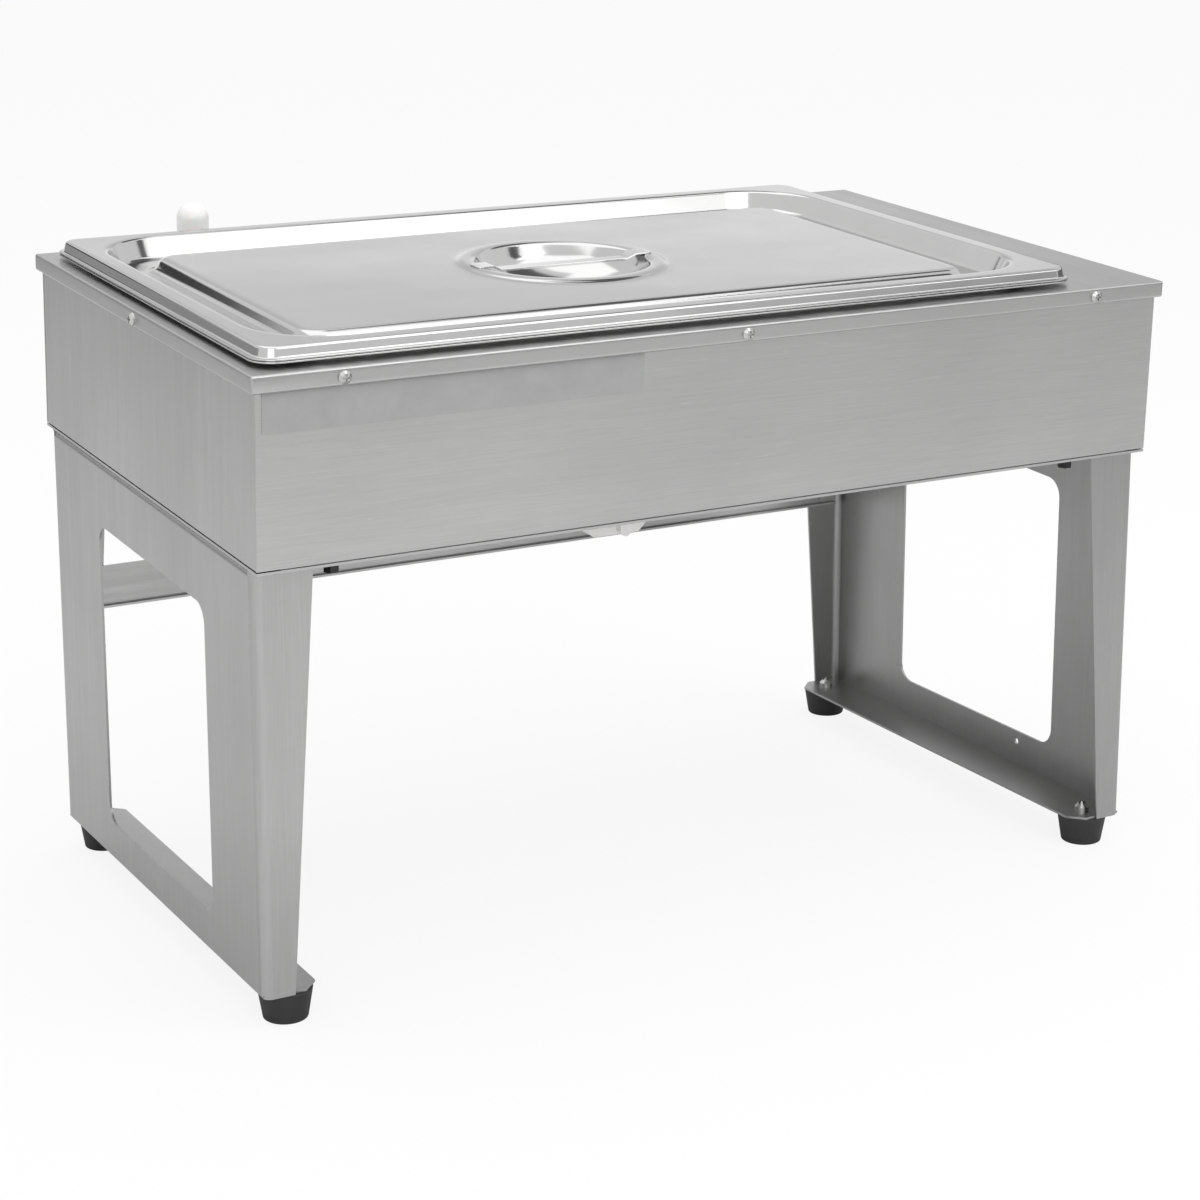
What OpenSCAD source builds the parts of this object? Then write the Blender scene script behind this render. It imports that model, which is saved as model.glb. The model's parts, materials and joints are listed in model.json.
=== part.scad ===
// Chocolate melting tank: a water-jacketed tank with a lift-out pan on a folded sheet-metal stand.
// Millimetres. X runs to the right, Y to the rear, Z up, and the feet stand on Z = 0.

/* [Tank] */
// Thickness of the top plate
top_t = 1.5; // [1:0.1:2]
// Height of the top plate's folded skirt
skirt_h = 10; // [9:0.5:14]
// Thickness of the skirt, which is a closed hem
skirt_t = 3; // [2:0.1:4]
// Gap between the skirt and the panels
skirt_gap = 0.5; // [0.2:0.1:1]
// Thickness of the side panels
panel_t = 1.2; // [0.8:0.1:1.5]
// Thickness of the bottom plate
bottom_t = 1.5; // [1:0.1:2]
// Seam between the bottom plate and the panels
seam = 0.6; // [0.3:0.1:1]
// Width of the folded returns that join the panels
return_w = 13; // [8:1:15]
// Forward slope of the tank on its stand, in degrees
tank_tilt = 2.45; // [0:0.05:4]
// Height of the lip round the pan opening
lip_h = 2; // [1.5:0.1:4]
// Thickness of the lip
lip_t = 1.5; // [1:0.1:2]
// Gap under a part that lifts off
seat_gap = 0.3; // [0.2:0.1:0.5]

/* [Pan] */
// Length of the pan over its rim
pan_w = 530; // [525:1:531]
// Width of the pan over its rim
pan_d = 325; // [320:1:326]
// Depth of the pan from its rim
pan_depth = 65; // [40:1:66]
// Sheet thickness of the pan
pan_t = 1; // [0.8:0.1:1.2]
// Width of the pan's rim
pan_rim = 12.5; // [11:0.5:14]
// Corner radius of the rim
rim_r = 14; // [8:1:16]
// Corner radius of the pan's mouth
mouth_r = 46; // [40:1:50]
// How far the pan's walls lean in
pan_taper = 4; // [2:0.5:8]
// Radius between the pan's walls and floor
pan_fillet = 16; // [8:1:20]
// Depth of the pan rim's turned-down edge
rim_drop = 0.4; // [0.3:0.1:1.5]
// Clearance between the pan and its opening
opening_gap = 1.5; // [1:0.1:3]

/* [Lid] */
// Sheet thickness of the lid
lid_t = 1; // [0.8:0.1:1.2]
// Height of the lid's outer skirt
lid_skirt_h = 6.9; // [5:0.1:9]
// How far the lid's skirt leans out above the flat edge at its foot
lid_lean = 1; // [0.5:0.1:2]
// How far the lid's skirt flares
lid_flare = 4; // [2:0.5:6]
// Gap between the lid's inner wall and the pan's mouth
well_gap = 3.5; // [2:0.5:6]
// How much smaller the inner wall's corner radius is than the mouth's
well_r_step = 1; // [0:0.5:4]
// Depth of the lid's moat below its rim
moat_depth = 13; // [10:0.5:16]
// How far the inner wall slopes in
wall_slope = 6; // [3:0.5:8]
// Width of the moat's floor
moat_w = 21; // [15:0.5:22]
// Depth of the raised panel below the rim
panel_drop = 5; // [3:0.5:8]
// How far the raised panel's edge slopes in
step_slope = 5; // [3:0.5:6]
// Radius to the middle of the bead round the handle dish
bead_r = 57; // [50:0.5:62]
// Half width of the bead
bead_w = 6; // [4:0.5:8]
// Height of the bead over the raised panel
bead_h = 1.5; // [1:0.1:3]
// Depth of the handle dish below the raised panel
dish_depth = 22; // [16:0.5:24]
// Width of the handle strap
strap_w = 9; // [7:0.5:14]
// Thickness of the handle strap
strap_t = 1.6; // [1.2:0.1:3]
// Length of the strap's end tabs
tab_l = 11; // [8:0.5:14]
// Thickness of the strap's end tabs
tab_t = 1; // [0.8:0.1:1.5]
// How far the strap's bar lies below its end tabs
strap_sink = 3.4; // [2:0.1:4.5]
// Length of the slope between the bar and each end tab
strap_step = 6; // [4:0.5:8]

/* [Stand] */
// Height of the leg frames at mid depth
leg_h = 247; // [200:1:300]
// Distance of the leg frames behind the top plate's front edge
leg_in = 11; // [8:0.5:16]
// Sheet thickness of the leg frames and brace
leg_t = 1.5; // [1:0.1:2]
// Outer radius of the leg frames' upright bends
leg_bend = 6.5; // [4:0.5:8]
// Width of the front and rear flanges at the top
flange_top = 36; // [33:1:45]
// Width of the front and rear flanges at the floor
flange_low = 19; // [15:1:24]
// Width of the bottom flange
foot_flange = 35; // [35:1:45]
// Chamfer on the bottom flange's corners
flange_cut = 9; // [4:1:10]
// Outer radius of the bend into the bottom flange
foot_bend = 3; // [2:0.5:4]
// Width of the top flange beyond its bolts
bolt_edge = 13; // [8:0.5:20]
// Stile in front of the leg window
window_front = 71; // [60:1:85]
// Stile behind the leg window
window_rear = 83; // [60:1:95]
// Rail under the leg window
window_low = 24; // [22:1:40]
// Rail over the leg window
window_top = 39; // [25:1:60]
// Corner radius of the leg window
window_r = 12; // [6:1:20]
// Diameter of the tie hole in the right frame's lower rail
tie_hole_d = 4; // [3:0.5:5]
// Distance of the tie hole behind the front of the frame
tie_hole_back = 107; // [90:1:200]
// Height of the tie hole over the bottom flange
tie_hole_up = 17; // [10:1:18]
// Height of the brace's lower edge over the bottom flange
brace_up = 135; // [80:1:160]
// Height of the brace
brace_h = 27; // [22:1:40]
// Depth of the brace's folded lower edge
brace_fold = 4; // [3:0.5:20]
// Distance of the brace's screws from the frame's outer face
brace_screw_in = 19; // [16:0.5:22]
// Spacing of the brace's screws
brace_screw_pitch = 11; // [10:0.5:14]

/* [Feet] */
// Height of a foot
foot_h = 18; // [14:1:30]
// Diameter of a foot at the top
foot_d = 31; // [26:0.5:32]
// Diameter of a foot at the floor
foot_low_d = 25; // [20:0.5:26]
// Distance of a foot from the frame's outer face
foot_in = 19; // [17:0.5:20]
// Distance of a foot from the front or rear of the frame
foot_back = 15; // [14:0.5:25]
// Diameter of the hollow under a foot
foot_hollow_d = 13; // [10:0.5:16]
// Depth of the hollow under a foot
foot_hollow = 5; // [3:0.5:6]

/* [Fasteners] */
// Diameter of the cover and brace screws
screw_d = 4; // [3:0.5:4]
// Head diameter of the cover and brace screws
screw_head_d = 7.4; // [7:0.1:8]
// Head height of the cover and brace screws
screw_head_h = 2.4; // [2:0.1:2.8]
// Length of a cover screw
cover_screw_l = 8; // [7:0.5:9]
// Distance of the cover screws below the top
cover_screw_down = 5.3; // [5:0.1:6]
// Distance of the outer cover screws from the top plate's ends
cover_screw_in = 52; // [40:1:80]
// Diameter of the leg bolts and foot screws
bolt_d = 5; // [4:0.5:5]
// Width across a leg bolt's corners
bolt_head_d = 9.2; // [8.5:0.1:9.5]
// Head height of a leg bolt
bolt_head_h = 6.5; // [3:0.1:7]
// Gap between the leg bolts' nuts and the bay's divider
bolt_gap = 2.4; // [1:0.1:4]
// Distance of the end leg bolts from the front or rear of the frame
bolt_back = 8; // [8:1:30]
// Thickness of the nuts
nut_t = 4; // [3:0.1:5]
// Clearance of a fastener in its hole
hole_gap = 0.15; // [0.1:0.05:0.3]

/* [Water tub] */
// Gap between the pan's mouth and the tub
tub_gap = 8; // [6:0.5:10]
// Sheet thickness of the tub
tub_t = 1; // [0.8:0.1:1.2]
// Width of the tub's flange under the top plate
tub_flange = 6; // [4:0.5:8]
// Gap between the tub's flange and the left panel
tub_side_gap = 1.8; // [1:0.1:4]
// Gap between the tub's flange and the front or rear panel
tub_front_gap = 4.8; // [3:0.1:8]
// Height of the water space under the pan
water_gap = 16.3; // [10:0.1:30]
// Thickness of the heater pad
heater_t = 3; // [2:0.5:4]
// Distance of the heater pad from the tub's ends
heater_end = 70; // [40:1:120]
// Gap between the heater pad and the drain's nut
heater_gap = 3; // [2:0.5:10]
// Thickness of the insulation board
board_t = 23.5; // [18:0.5:40]
// Gap between the insulation board and the leg bolts
board_gap = 9; // [4:0.5:30]
// Distance of the insulation board from the front or rear panel
board_side = 29; // [15:1:60]

/* [Drain] */
// Distance of the drain in front of the pan's middle
drain_front = 72; // [60:1:90]
// Distance of the drain to the left of the pan's middle
drain_left = 9; // [0:1:40]
// Radius of the drain spigot's pipe
spigot_r = 11; // [9:0.5:12]
// Radius of the drain spigot's flange
spigot_flange_r = 19; // [16:0.5:20]
// Thickness of the spigot's flange
spigot_flange_t = 3; // [2:0.5:4]
// Thickness of the drain gasket
gasket_t = 2; // [1:0.5:3]
// Width of the drain's body
drain_w = 46; // [40:1:50]
// Depth of the drain's body
drain_d = 36; // [32:1:40]
// Gap between the tank's underside and the drain's body
drain_gap = 2; // [1:0.5:3]
// How far the spigot enters the drain's body
spigot_in = 6; // [4:0.5:6]
// Radius of the drain's flow passage
flow_r = 5; // [4:0.5:5.5]
// Radius of the drain's outlet, under the plug
outlet_r = 6; // [5.5:0.1:7]
// Length of the drain's outlet
outlet_l = 5; // [4:0.1:6]
// Radius of the turning plug
plug_r = 7; // [6.5:0.1:7.5]
// Running clearance of the plug in its bore
plug_gap = 0.05; // [0.03:0.01:0.1]
// Wall between the spigot's end and the plug
plug_wall = 4; // [3:0.5:5]
// Wall between the plug and the outlet
outlet_wall = 2; // [1.5:0.1:3]
// Step from the plug to its front collar
collar_step = 0.6; // [0.4:0.1:2]
// Step from the plug to the ring that keeps it in
ring_step = 2; // [1:0.1:3]
// Thickness of that ring
ring_t = 1.5; // [1:0.1:2]
// Length of the plug's front collar
collar_l = 6; // [4:0.5:8]
// Width of the plug's thumb tab
tab_w = 7.5; // [6:0.5:9]
// Length of the thumb tab from the plug's axis to its round end
thumb_l = 12; // [10:0.5:14]
// Thickness of the thumb tab
thumb_t = 5; // [4:0.5:7]

/* [Filler] */
// Distance of the filler from the top plate's left edge
filler_left = 108; // [90:1:150]
// Depth of the filler pipe below the top plate's upper face
filler_down = 36; // [32:1:42]
// Radius of the filler's pipe
filler_r = 8; // [7:0.5:9]
// Radius of the filler's bore
filler_bore_r = 5.5; // [4:0.5:6]
// Distance of the filler's neck behind the top plate
neck_back = 13.5; // [12:0.5:20]
// Radius of the filler's wall flange
filler_flange_r = 15; // [13:0.5:16]
// Radius of the neck's collar
neck_collar_r = 10.2; // [10:0.1:11]
// Height of the neck's collar
neck_collar_h = 5.7; // [4:0.1:7]
// Wall of the filler cap
cap_wall = 2; // [1.5:0.1:2.5]
// Height of the filler cap over the top plate
cap_up = 22; // [18:0.5:30]
// Depth of the cap's lower edge below the top plate
cap_down = 2; // [0:0.5:4]
// Sliding clearance of the cap on the neck
cap_gap = 0.08; // [0.05:0.01:0.1]

/* [Controls] */
// Gap between the tub and the electrical bay's divider
bay_gap = 17; // [12:0.5:24]
// Room for wires behind the thermostat
wire_room = 9.6; // [8:0.1:14]
// Thickness of the divider
divider_t = 1.2; // [1:0.1:1.5]
// Height of the controls over the tank's underside
control_z = 58; // [50:1:62]
// Distance of the thermostat in front of the middle
thermostat_y = 70; // [66:1:90]
// Width of the thermostat's case
thermostat_w = 36; // [32:1:38]
// Depth of the thermostat's case
thermostat_d = 30; // [26:1:31]
// Radius of the thermostat's bushing
bushing_r = 4.9; // [4.5:0.1:5.5]
// Radius of the thermostat's shaft
shaft_r = 3; // [2.5:0.1:3.2]
// Running clearance of the shaft
shaft_gap = 0.05; // [0.03:0.01:0.1]
// Radius of the dial plate
dial_r = 30; // [26:1:32]
// Thickness of the dial plate
dial_t = 1; // [0.8:0.1:1.5]
// Radius of the thermostat knob
knob_r = 19; // [16:0.5:22]
// Length of the thermostat knob
knob_l = 20; // [16:0.5:24]
// Gap between the knob and the dial plate
knob_gap = 0.5; // [0.3:0.1:1]
// Width of the switch's opening in the panel
switch_w = 19; // [18:0.5:20]
// Height of the switch's opening in the panel
switch_h = 28; // [26:0.5:30]
// Width of the switch's bezel round its opening
bezel_w = 2.5; // [2:0.5:4]
// Thickness of the switch's bezel
bezel_t = 2; // [1.5:0.1:2.5]
// Depth of the switch behind the panel
switch_d = 23; // [20:0.5:26]
// Angle that the rocker rests at and tips to
rocker_angle = 9; // [6:0.5:10]
// Distance of the lamp behind the middle
lamp_y = 45; // [40:1:60]
// Radius of the lamp's lens
lamp_r = 5; // [4:0.5:6]
// Distance of the inlet from the bay's divider
inlet_in = 18; // [17:0.5:20]
// Height of the inlet over the tank's underside
inlet_z = 55; // [45:1:60]
// Width of the inlet's socket
socket_w = 16; // [15:0.5:17]
// Height of the inlet's socket
socket_h = 24; // [23:0.5:25]
// Depth of the inlet's socket
socket_d = 15; // [14:0.5:17]
// Wall round the inlet's socket
socket_wall = 2; // [1.5:0.1:2.5]
// Spacing of the inlet's screws
inlet_pitch = 40; // [38:1:44]
// Thickness of the inlet's flange
inlet_flange_t = 3; // [2:0.5:4]
// Radius of a wire
wire_r = 1.2; // [0.8:0.1:1.3]

/* [Hidden] */
$fn = 64;

// Colours
STEEL = [0.74, 0.74, 0.73];
POLISHED = [0.86, 0.86, 0.85];
WHITE = [0.93, 0.93, 0.91];
BLACK = [0.06, 0.06, 0.065];
ZINC = [0.62, 0.62, 0.6];

// A cut starts this far outside the face that it goes through
cut = 1;
// Pieces of one solid share this much
bond = 0.4;

// Outlines of the pan, the tub, the bay and the top plate
mouth_w = pan_w - 2 * pan_rim;
mouth_d = pan_d - 2 * pan_rim;
tub_w = mouth_w + 2 * tub_gap;
tub_d = mouth_d + 2 * tub_gap;
wall_w = panel_t + skirt_gap + skirt_t;
reach_left = tub_w / 2 + tub_flange + tub_side_gap + wall_w;
reach_right = tub_w / 2 + bay_gap + divider_t + wire_room + thermostat_d + wall_w;
top_w = reach_left + reach_right;
top_d = tub_d + 2 * (tub_flange + tub_front_gap + wall_w);
pan_x = (reach_left - reach_right) / 2;

// Heights over the tank's underside
tub_floor = bottom_t + board_t + heater_t + tub_t;
pan_z = tub_floor + water_gap + pan_depth;
tank_h = pan_z - seat_gap - lip_h;

// Half sizes of the tank's walls, at their outer faces
wall_x = top_w / 2 - skirt_t - skirt_gap;
wall_y = top_d / 2 - skirt_t - skirt_gap;
inner_x = wall_x - panel_t;
inner_y = wall_y - panel_t;
panel_z = bottom_t + seam;
plate_z = tank_h - top_t;
cover_screw_z = tank_h - cover_screw_down;
cover_screw_x = top_w / 2 - cover_screw_in;

// The pan's opening
opening_w = mouth_w + 2 * (pan_t + opening_gap);
opening_d = mouth_d + 2 * (pan_t + opening_gap);
opening_r = mouth_r + pan_t + opening_gap;

// The lid, whose rim's upper face is at lid_z
lid_z = pan_z + pan_t + seat_gap + lid_skirt_h;
lid_w = pan_w - 2 * lid_flare;
lid_d = pan_d - 2 * lid_flare;
lid_r = rim_r - lid_flare;
lid_wall_r = mouth_r - well_r_step;
well_w = mouth_w - 2 * well_gap;
well_d = mouth_d - 2 * well_gap;
panel_in = wall_slope + moat_w + step_slope;
dish_r = bead_r - bead_w;
strap_z = bead_h - panel_drop;

// The drain and the filler
drain_x = pan_x - drain_left;
drain_top = -drain_gap;
plug_z = drain_top - spigot_in - plug_wall - plug_r;
drain_h = spigot_in + plug_wall + 2 * plug_r + outlet_wall + outlet_l;
drain_face = drain_d / 2 + seat_gap;
collar_r = plug_r + collar_step;
ring_r = plug_r + ring_step;
groove_r = plug_r - ring_t;
filler_x = filler_left - top_w / 2;
filler_z = tank_h - filler_down;
neck_y = top_d / 2 + neck_back;
neck_collar_z = tank_h - cap_down - seat_gap - neck_collar_h;
cap_r = filler_r + cap_gap + cap_wall;
neck_top = tank_h + cap_up - cap_r - seat_gap;
filler_nut_t = 7;
filler_inside = tub_d / 2 - filler_nut_t - 1;
filler_nut_r = 14;

// The electrical bay
divider_x = pan_x + tub_w / 2 + bay_gap;
bay_x = divider_x + divider_t;
thermostat_back = inner_x - thermostat_d;
switch_back = inner_x - switch_d;
inlet_x = bay_x + inlet_in;
nut_r = 7;
dial_nut_t = 3;
heater_w = tub_w - 2 * heater_end;
heater_d = 2 * (drain_front - spigot_flange_r - heater_gap);
lead_z = tub_floor - tub_t - heater_t / 2;
lead_y = -heater_d / 4;
bulb_r = 3;
bulb_l = 80;
bulb_x = pan_x + heater_w / 2 - bulb_l / 2;
bulb_y = -thermostat_y - 8;
bulb_z = tub_floor - tub_t - bulb_r - seat_gap;
tube_r = 1;
block_x = bay_x + 9;
block_y = inner_y - 96.8;
block_w = 20;
block_h = 18;
block_ways = 4;
block_pitch = 10;
block_d = block_ways * block_pitch;

// The stand
leg_d = top_d - 2 * leg_in;
leg_rise = leg_d / 2 * tan(tank_tilt);
foot_x = wall_x - foot_in;
foot_y = leg_d / 2 - foot_back;
bolt_x = divider_x - bolt_gap - bolt_head_d / 2;
bolt_y = leg_d / 2 - bolt_back;
top_flange = wall_x - bolt_x + bolt_edge;
board_w = 2 * (bolt_x - bolt_head_d / 2 - board_gap);
board_d = 2 * (inner_y - board_side);
brace_x = wall_x - leg_bend - seat_gap;
brace_y = leg_d / 2 - leg_t;
brace_screw_x = wall_x - brace_screw_in;
brace_middle = foot_h + brace_up + (brace_h + leg_t) / 2;
brace_screw_z = [brace_middle - brace_screw_pitch / 2, brace_middle + brace_screw_pitch / 2];

// The whole object's reach, which puts the origin under its middle
far_left = -top_w / 2 - screw_head_h;
far_right = wall_x + dial_t + knob_gap + knob_l;
far_front = -(top_d / 2 + screw_head_h) * cos(tank_tilt)
    - (cover_screw_z + screw_head_d / 2 - 0.6 * screw_head_h) * sin(tank_tilt);
far_rear = (neck_y + neck_collar_r) * cos(tank_tilt) - neck_collar_z * sin(tank_tilt);
middle = [(far_left + far_right) / 2, (far_front + far_rear) / 2, 0];

// Puts a piece of the stand in the object's frame
module on_stand() {
    translate(-middle)
        children();
}

// Slopes a piece of the tank, whose own origin is the middle of its underside
module sloped() {
    translate([0, 0, foot_h + leg_h])
        rotate([tank_tilt, 0, 0])
            children();
}

// Puts a piece of the tank in the object's frame
module in_tank() {
    on_stand()
        sloped()
            children();
}

// The direction square to the left of the line from a to b
function left_of(a, b) = let (d = (b - a) / norm(b - a)) [-d.y, d.x];

// The offset direction at a point of a path
function path_side(p, i) =
    i == 0 ? left_of(p[0], p[1])
    : i == len(p) - 1 ? left_of(p[i - 1], p[i])
    : let (
        n = left_of(p[i - 1], p[i]),
        m = n + left_of(p[i], p[i + 1])
    ) m / (m * n);

// The outline of a sheet of thickness t that lies to the left of a path
function sheet_outline(p, t) =
    concat(p, [for (i = [len(p) - 1 : -1 : 0]) p[i] + t * path_side(p, i)]);

// A centred rectangle with round corners
module round_rect(w, d, r) {
    square([w - 2 * r, d], center = true);
    square([w, d - 2 * r], center = true);
    for (sx = [-1, 1], sy = [-1, 1])
        translate([sx * (w / 2 - r), sy * (d / 2 - r)])
            circle(r);
}

// A ring between two round-cornered rectangles
module round_ring(w, d, r, wall, h) {
    linear_extrude(h)
        difference() {
            round_rect(w, d, r);
            round_rect(w - 2 * wall, d - 2 * wall, r - wall);
        }
}

// Sweeps a profile round a rectangle with round corners: x is measured from the corners' centres
module swept_rim(w, d, r, profile) {
    run = [w - 2 * r, d - 2 * r];
    for (i = [0 : 3]) {
        a = run[i % 2];
        b = run[(i + 1) % 2];
        rotate(90 * i)
            translate([a / 2, b / 2, 0]) {
                rotate_extrude(angle = 90)
                    polygon(profile);
                rotate([90, 0, 0])
                    linear_extrude(b)
                        polygon(profile);
            }
    }
}

// A convex outline with round corners about the given centres, listed anticlockwise
module rounded_outline(centres, r) {
    n = len(centres);
    polygon([
        for (i = [0 : n - 1])
            let (a = centres[i], b = centres[(i + 1) % n], out = -left_of(a, b))
                for (p = [a, b]) p + r * out
    ]);
    for (c = centres)
        translate(c)
            circle(r);
}

// A cross-head screw: the head stands on z = 0 and the shank points down
module pan_screw(d, l, head_d, head_h) {
    slot_l = 0.55 * head_d;
    slot_w = 0.15 * head_d;
    difference() {
        union() {
            rotate_extrude()
                polygon([
                    [0, 0], [head_d / 2, 0], [head_d / 2, 0.4 * head_h],
                    [head_d / 2 - 0.6 * head_h, head_h], [0, head_h]
                ]);
            translate([0, 0, -l])
                cylinder(d = d, h = l + bond);
        }
        for (a = [0, 90])
            rotate(a)
                translate([0, 0, head_h])
                    cube([slot_l, slot_w, head_h], center = true);
    }
}

// A hexagon nut on z = 0, r to its corners
module hex_nut(r, hole_r, t) {
    difference() {
        cylinder(r = r, h = t, $fn = 6);
        translate([0, 0, -cut])
            cylinder(r = hole_r, h = t + 2 * cut);
    }
}

// A round bar from a to b
module bar(a, b, r) {
    d = b - a;
    translate(a)
        rotate([0, acos(d.z / norm(d)), atan2(d.y, d.x)])
            cylinder(r = r, h = norm(d), $fn = 24);
}

// A bent wire through the given points
module wire(points, r) {
    for (i = [0 : len(points) - 2])
        bar(points[i], points[i + 1], r);
    for (i = [1 : len(points) - 2])
        translate(points[i])
            sphere(r, $fn = 24);
}

// Holes along Y for the screws of one leg's brace
module brace_holes(r) {
    for (z = brace_screw_z)
        translate([brace_screw_x, leg_d / 2 + cut, z])
            rotate([90, 0, 0])
                cylinder(r = r, h = 2 * leg_t + 2 * cut);
}

// The right leg frame: the left one is its mirror image
module leg_frame() {
    tall = leg_h + leg_rise + cut;
    difference() {
        union() {
            difference() {
                translate([wall_x - flange_top, 0, foot_h])
                    linear_extrude(tall)
                        difference() {
                            intersection() {
                                round_rect(2 * flange_top, leg_d, leg_bend);
                                translate([0, -leg_d / 2])
                                    square([flange_top, leg_d]);
                            }
                            round_rect(2 * (flange_top - leg_t), leg_d - 2 * leg_t, leg_bend - leg_t);
                        }
                leg_taper(tall);
                leg_window();
                sloped()
                    translate([0, -leg_d, 0])
                        cube([top_w, 2 * leg_d, leg_d]);
            }
            translate([wall_x, 0, foot_h])
                linear_extrude(leg_t)
                    polygon([
                        [-leg_t / 2, -brace_y + seat_gap], [-leg_t / 2, brace_y - seat_gap],
                        [flange_cut - foot_flange, brace_y - seat_gap],
                        [-foot_flange, brace_y - seat_gap - flange_cut],
                        [-foot_flange, -brace_y + seat_gap + flange_cut],
                        [flange_cut - foot_flange, -brace_y + seat_gap]
                    ]);
            sloped()
                translate([wall_x - top_flange, seat_gap - brace_y, -leg_t])
                    cube([top_flange - leg_t / 2, 2 * (brace_y - seat_gap), leg_t]);
        }
        foot_bend_cut();
        for (sy = [-1, 1])
            translate([foot_x, sy * foot_y, foot_h - cut])
                cylinder(r = bolt_d / 2 + hole_gap, h = leg_t + 2 * cut);
        for (y = [-bolt_y, 0, bolt_y])
            sloped()
                translate([bolt_x, y, -leg_t - cut])
                    cylinder(r = bolt_d / 2 + hole_gap, h = leg_t + 2 * cut);
        brace_holes(screw_d / 2 + hole_gap);
    }
}

// What is cut from the front and rear flanges to taper them towards the floor
module leg_taper(tall) {
    translate([wall_x, leg_d, foot_h])
        rotate([90, 0, 0])
            linear_extrude(2 * leg_d)
                polygon([
                    [-flange_top - cut, -cut], [-flange_low, -cut], [-flange_low, 0],
                    [-flange_top, tall], [-flange_top - cut, tall]
                ]);
}

// The round-cornered window of a leg frame, with its top along the tank's slope
module leg_window() {
    y0 = window_front - leg_d / 2 + window_r;
    y1 = leg_d / 2 - window_rear - window_r;
    low = foot_h + window_low + window_r;
    high = foot_h + leg_h - window_top - window_r;
    translate([wall_x - leg_t - cut, 0, 0])
        rotate([90, 0, 90])
            linear_extrude(leg_t + 2 * cut)
                rounded_outline([
                    [y0, low], [y1, low],
                    [y1, high + y1 * tan(tank_tilt)], [y0, high + y0 * tan(tank_tilt)]
                ], window_r);
}

// Rounds the outside of the bend into the bottom flange
module foot_bend_cut() {
    translate([wall_x - foot_bend, leg_d / 2 + cut, foot_h + foot_bend])
        rotate([90, 0, 0])
            difference() {
                translate([0, -foot_bend - cut, 0])
                    cube([foot_bend + cut, foot_bend + cut, leg_d + 2 * cut]);
                translate([0, 0, -cut])
                    cylinder(r = foot_bend, h = leg_d + 4 * cut);
            }
}

module left_leg_frame() {
    color(STEEL)
        on_stand()
            mirror([1, 0, 0])
                leg_frame();
}

module right_leg_frame() {
    color(STEEL)
        on_stand()
            difference() {
                leg_frame();
                translate([wall_x - leg_t - cut, tie_hole_back - leg_d / 2, foot_h + tie_hole_up])
                    rotate([0, 90, 0])
                        cylinder(d = tie_hole_d, h = leg_t + 2 * cut);
            }
}

module rear_brace() {
    color(STEEL)
        on_stand()
            difference() {
                translate([-brace_x, brace_y, foot_h + brace_up])
                    rotate([90, 0, 90])
                        linear_extrude(2 * brace_x)
                            polygon([
                                [0, 0], [0, brace_h], [-leg_t, brace_h], [-leg_t, leg_t],
                                [-brace_fold, leg_t], [-brace_fold, 0]
                            ]);
                brace_holes(screw_d / 2 + hole_gap);
                mirror([1, 0, 0])
                    brace_holes(screw_d / 2 + hole_gap);
            }
}

module brace_screws() {
    color(ZINC)
        on_stand()
            for (sx = [-1, 1], z = brace_screw_z)
                translate([sx * brace_screw_x, leg_d / 2, z])
                    rotate([-90, 0, 0])
                        pan_screw(screw_d, 2 * leg_t + nut_t + 1, screw_head_d, screw_head_h);
}

module brace_nuts() {
    color(ZINC)
        on_stand()
            for (sx = [-1, 1], z = brace_screw_z)
                translate([sx * brace_screw_x, brace_y - leg_t, z])
                    rotate([90, 0, 0])
                        hex_nut(bolt_head_d / 2, screw_d / 2 + hole_gap, nut_t);
}

// A tapered rubber foot at one corner of the stand
module foot(sx, sy) {
    shank = foot_h - foot_hollow - leg_t;
    color(BLACK)
        on_stand()
            translate([sx * foot_x, sy * foot_y, 0])
                difference() {
                    cylinder(d1 = foot_low_d, d2 = foot_d, h = foot_h);
                    translate([0, 0, -cut])
                        cylinder(d = foot_hollow_d, h = foot_hollow + cut);
                    translate([0, 0, foot_h - shank])
                        cylinder(r = bolt_d / 2 + hole_gap, h = shank + cut);
                }
}

module foot_front_left() {
    foot(-1, -1);
}

module foot_front_right() {
    foot(1, -1);
}

module foot_rear_left() {
    foot(-1, 1);
}

module foot_rear_right() {
    foot(1, 1);
}

module foot_screws() {
    color(ZINC)
        on_stand()
            for (sx = [-1, 1], sy = [-1, 1])
                translate([sx * foot_x, sy * foot_y, foot_h + leg_t])
                    pan_screw(bolt_d, foot_h - foot_hollow - leg_t, bolt_head_d, bolt_head_h);
}

// Calls its child at each leg bolt's place in the tank
module at_leg_bolts() {
    for (sx = [-1, 1], y = [-bolt_y, 0, bolt_y])
        translate([sx * bolt_x, y, 0])
            children();
}

module leg_bolts() {
    color(BLACK)
        in_tank()
            at_leg_bolts() {
                translate([0, 0, -leg_t - bolt_head_h])
                    cylinder(d = bolt_head_d, h = bolt_head_h, $fn = 6);
                translate([0, 0, -leg_t - bond])
                    cylinder(d = bolt_d, h = leg_t + bottom_t + nut_t + 1 + bond);
            }
}

module leg_nuts() {
    color(ZINC)
        in_tank()
            at_leg_bolts()
                translate([0, 0, bottom_t])
                    hex_nut(bolt_head_d / 2, bolt_d / 2 + hole_gap, nut_t);
}

// A flange that stands on the bottom plate against a panel
module upstand(l) {
    translate([-l / 2, 0, bottom_t - bond])
        cube([l, panel_t, return_w + bond]);
}

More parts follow.
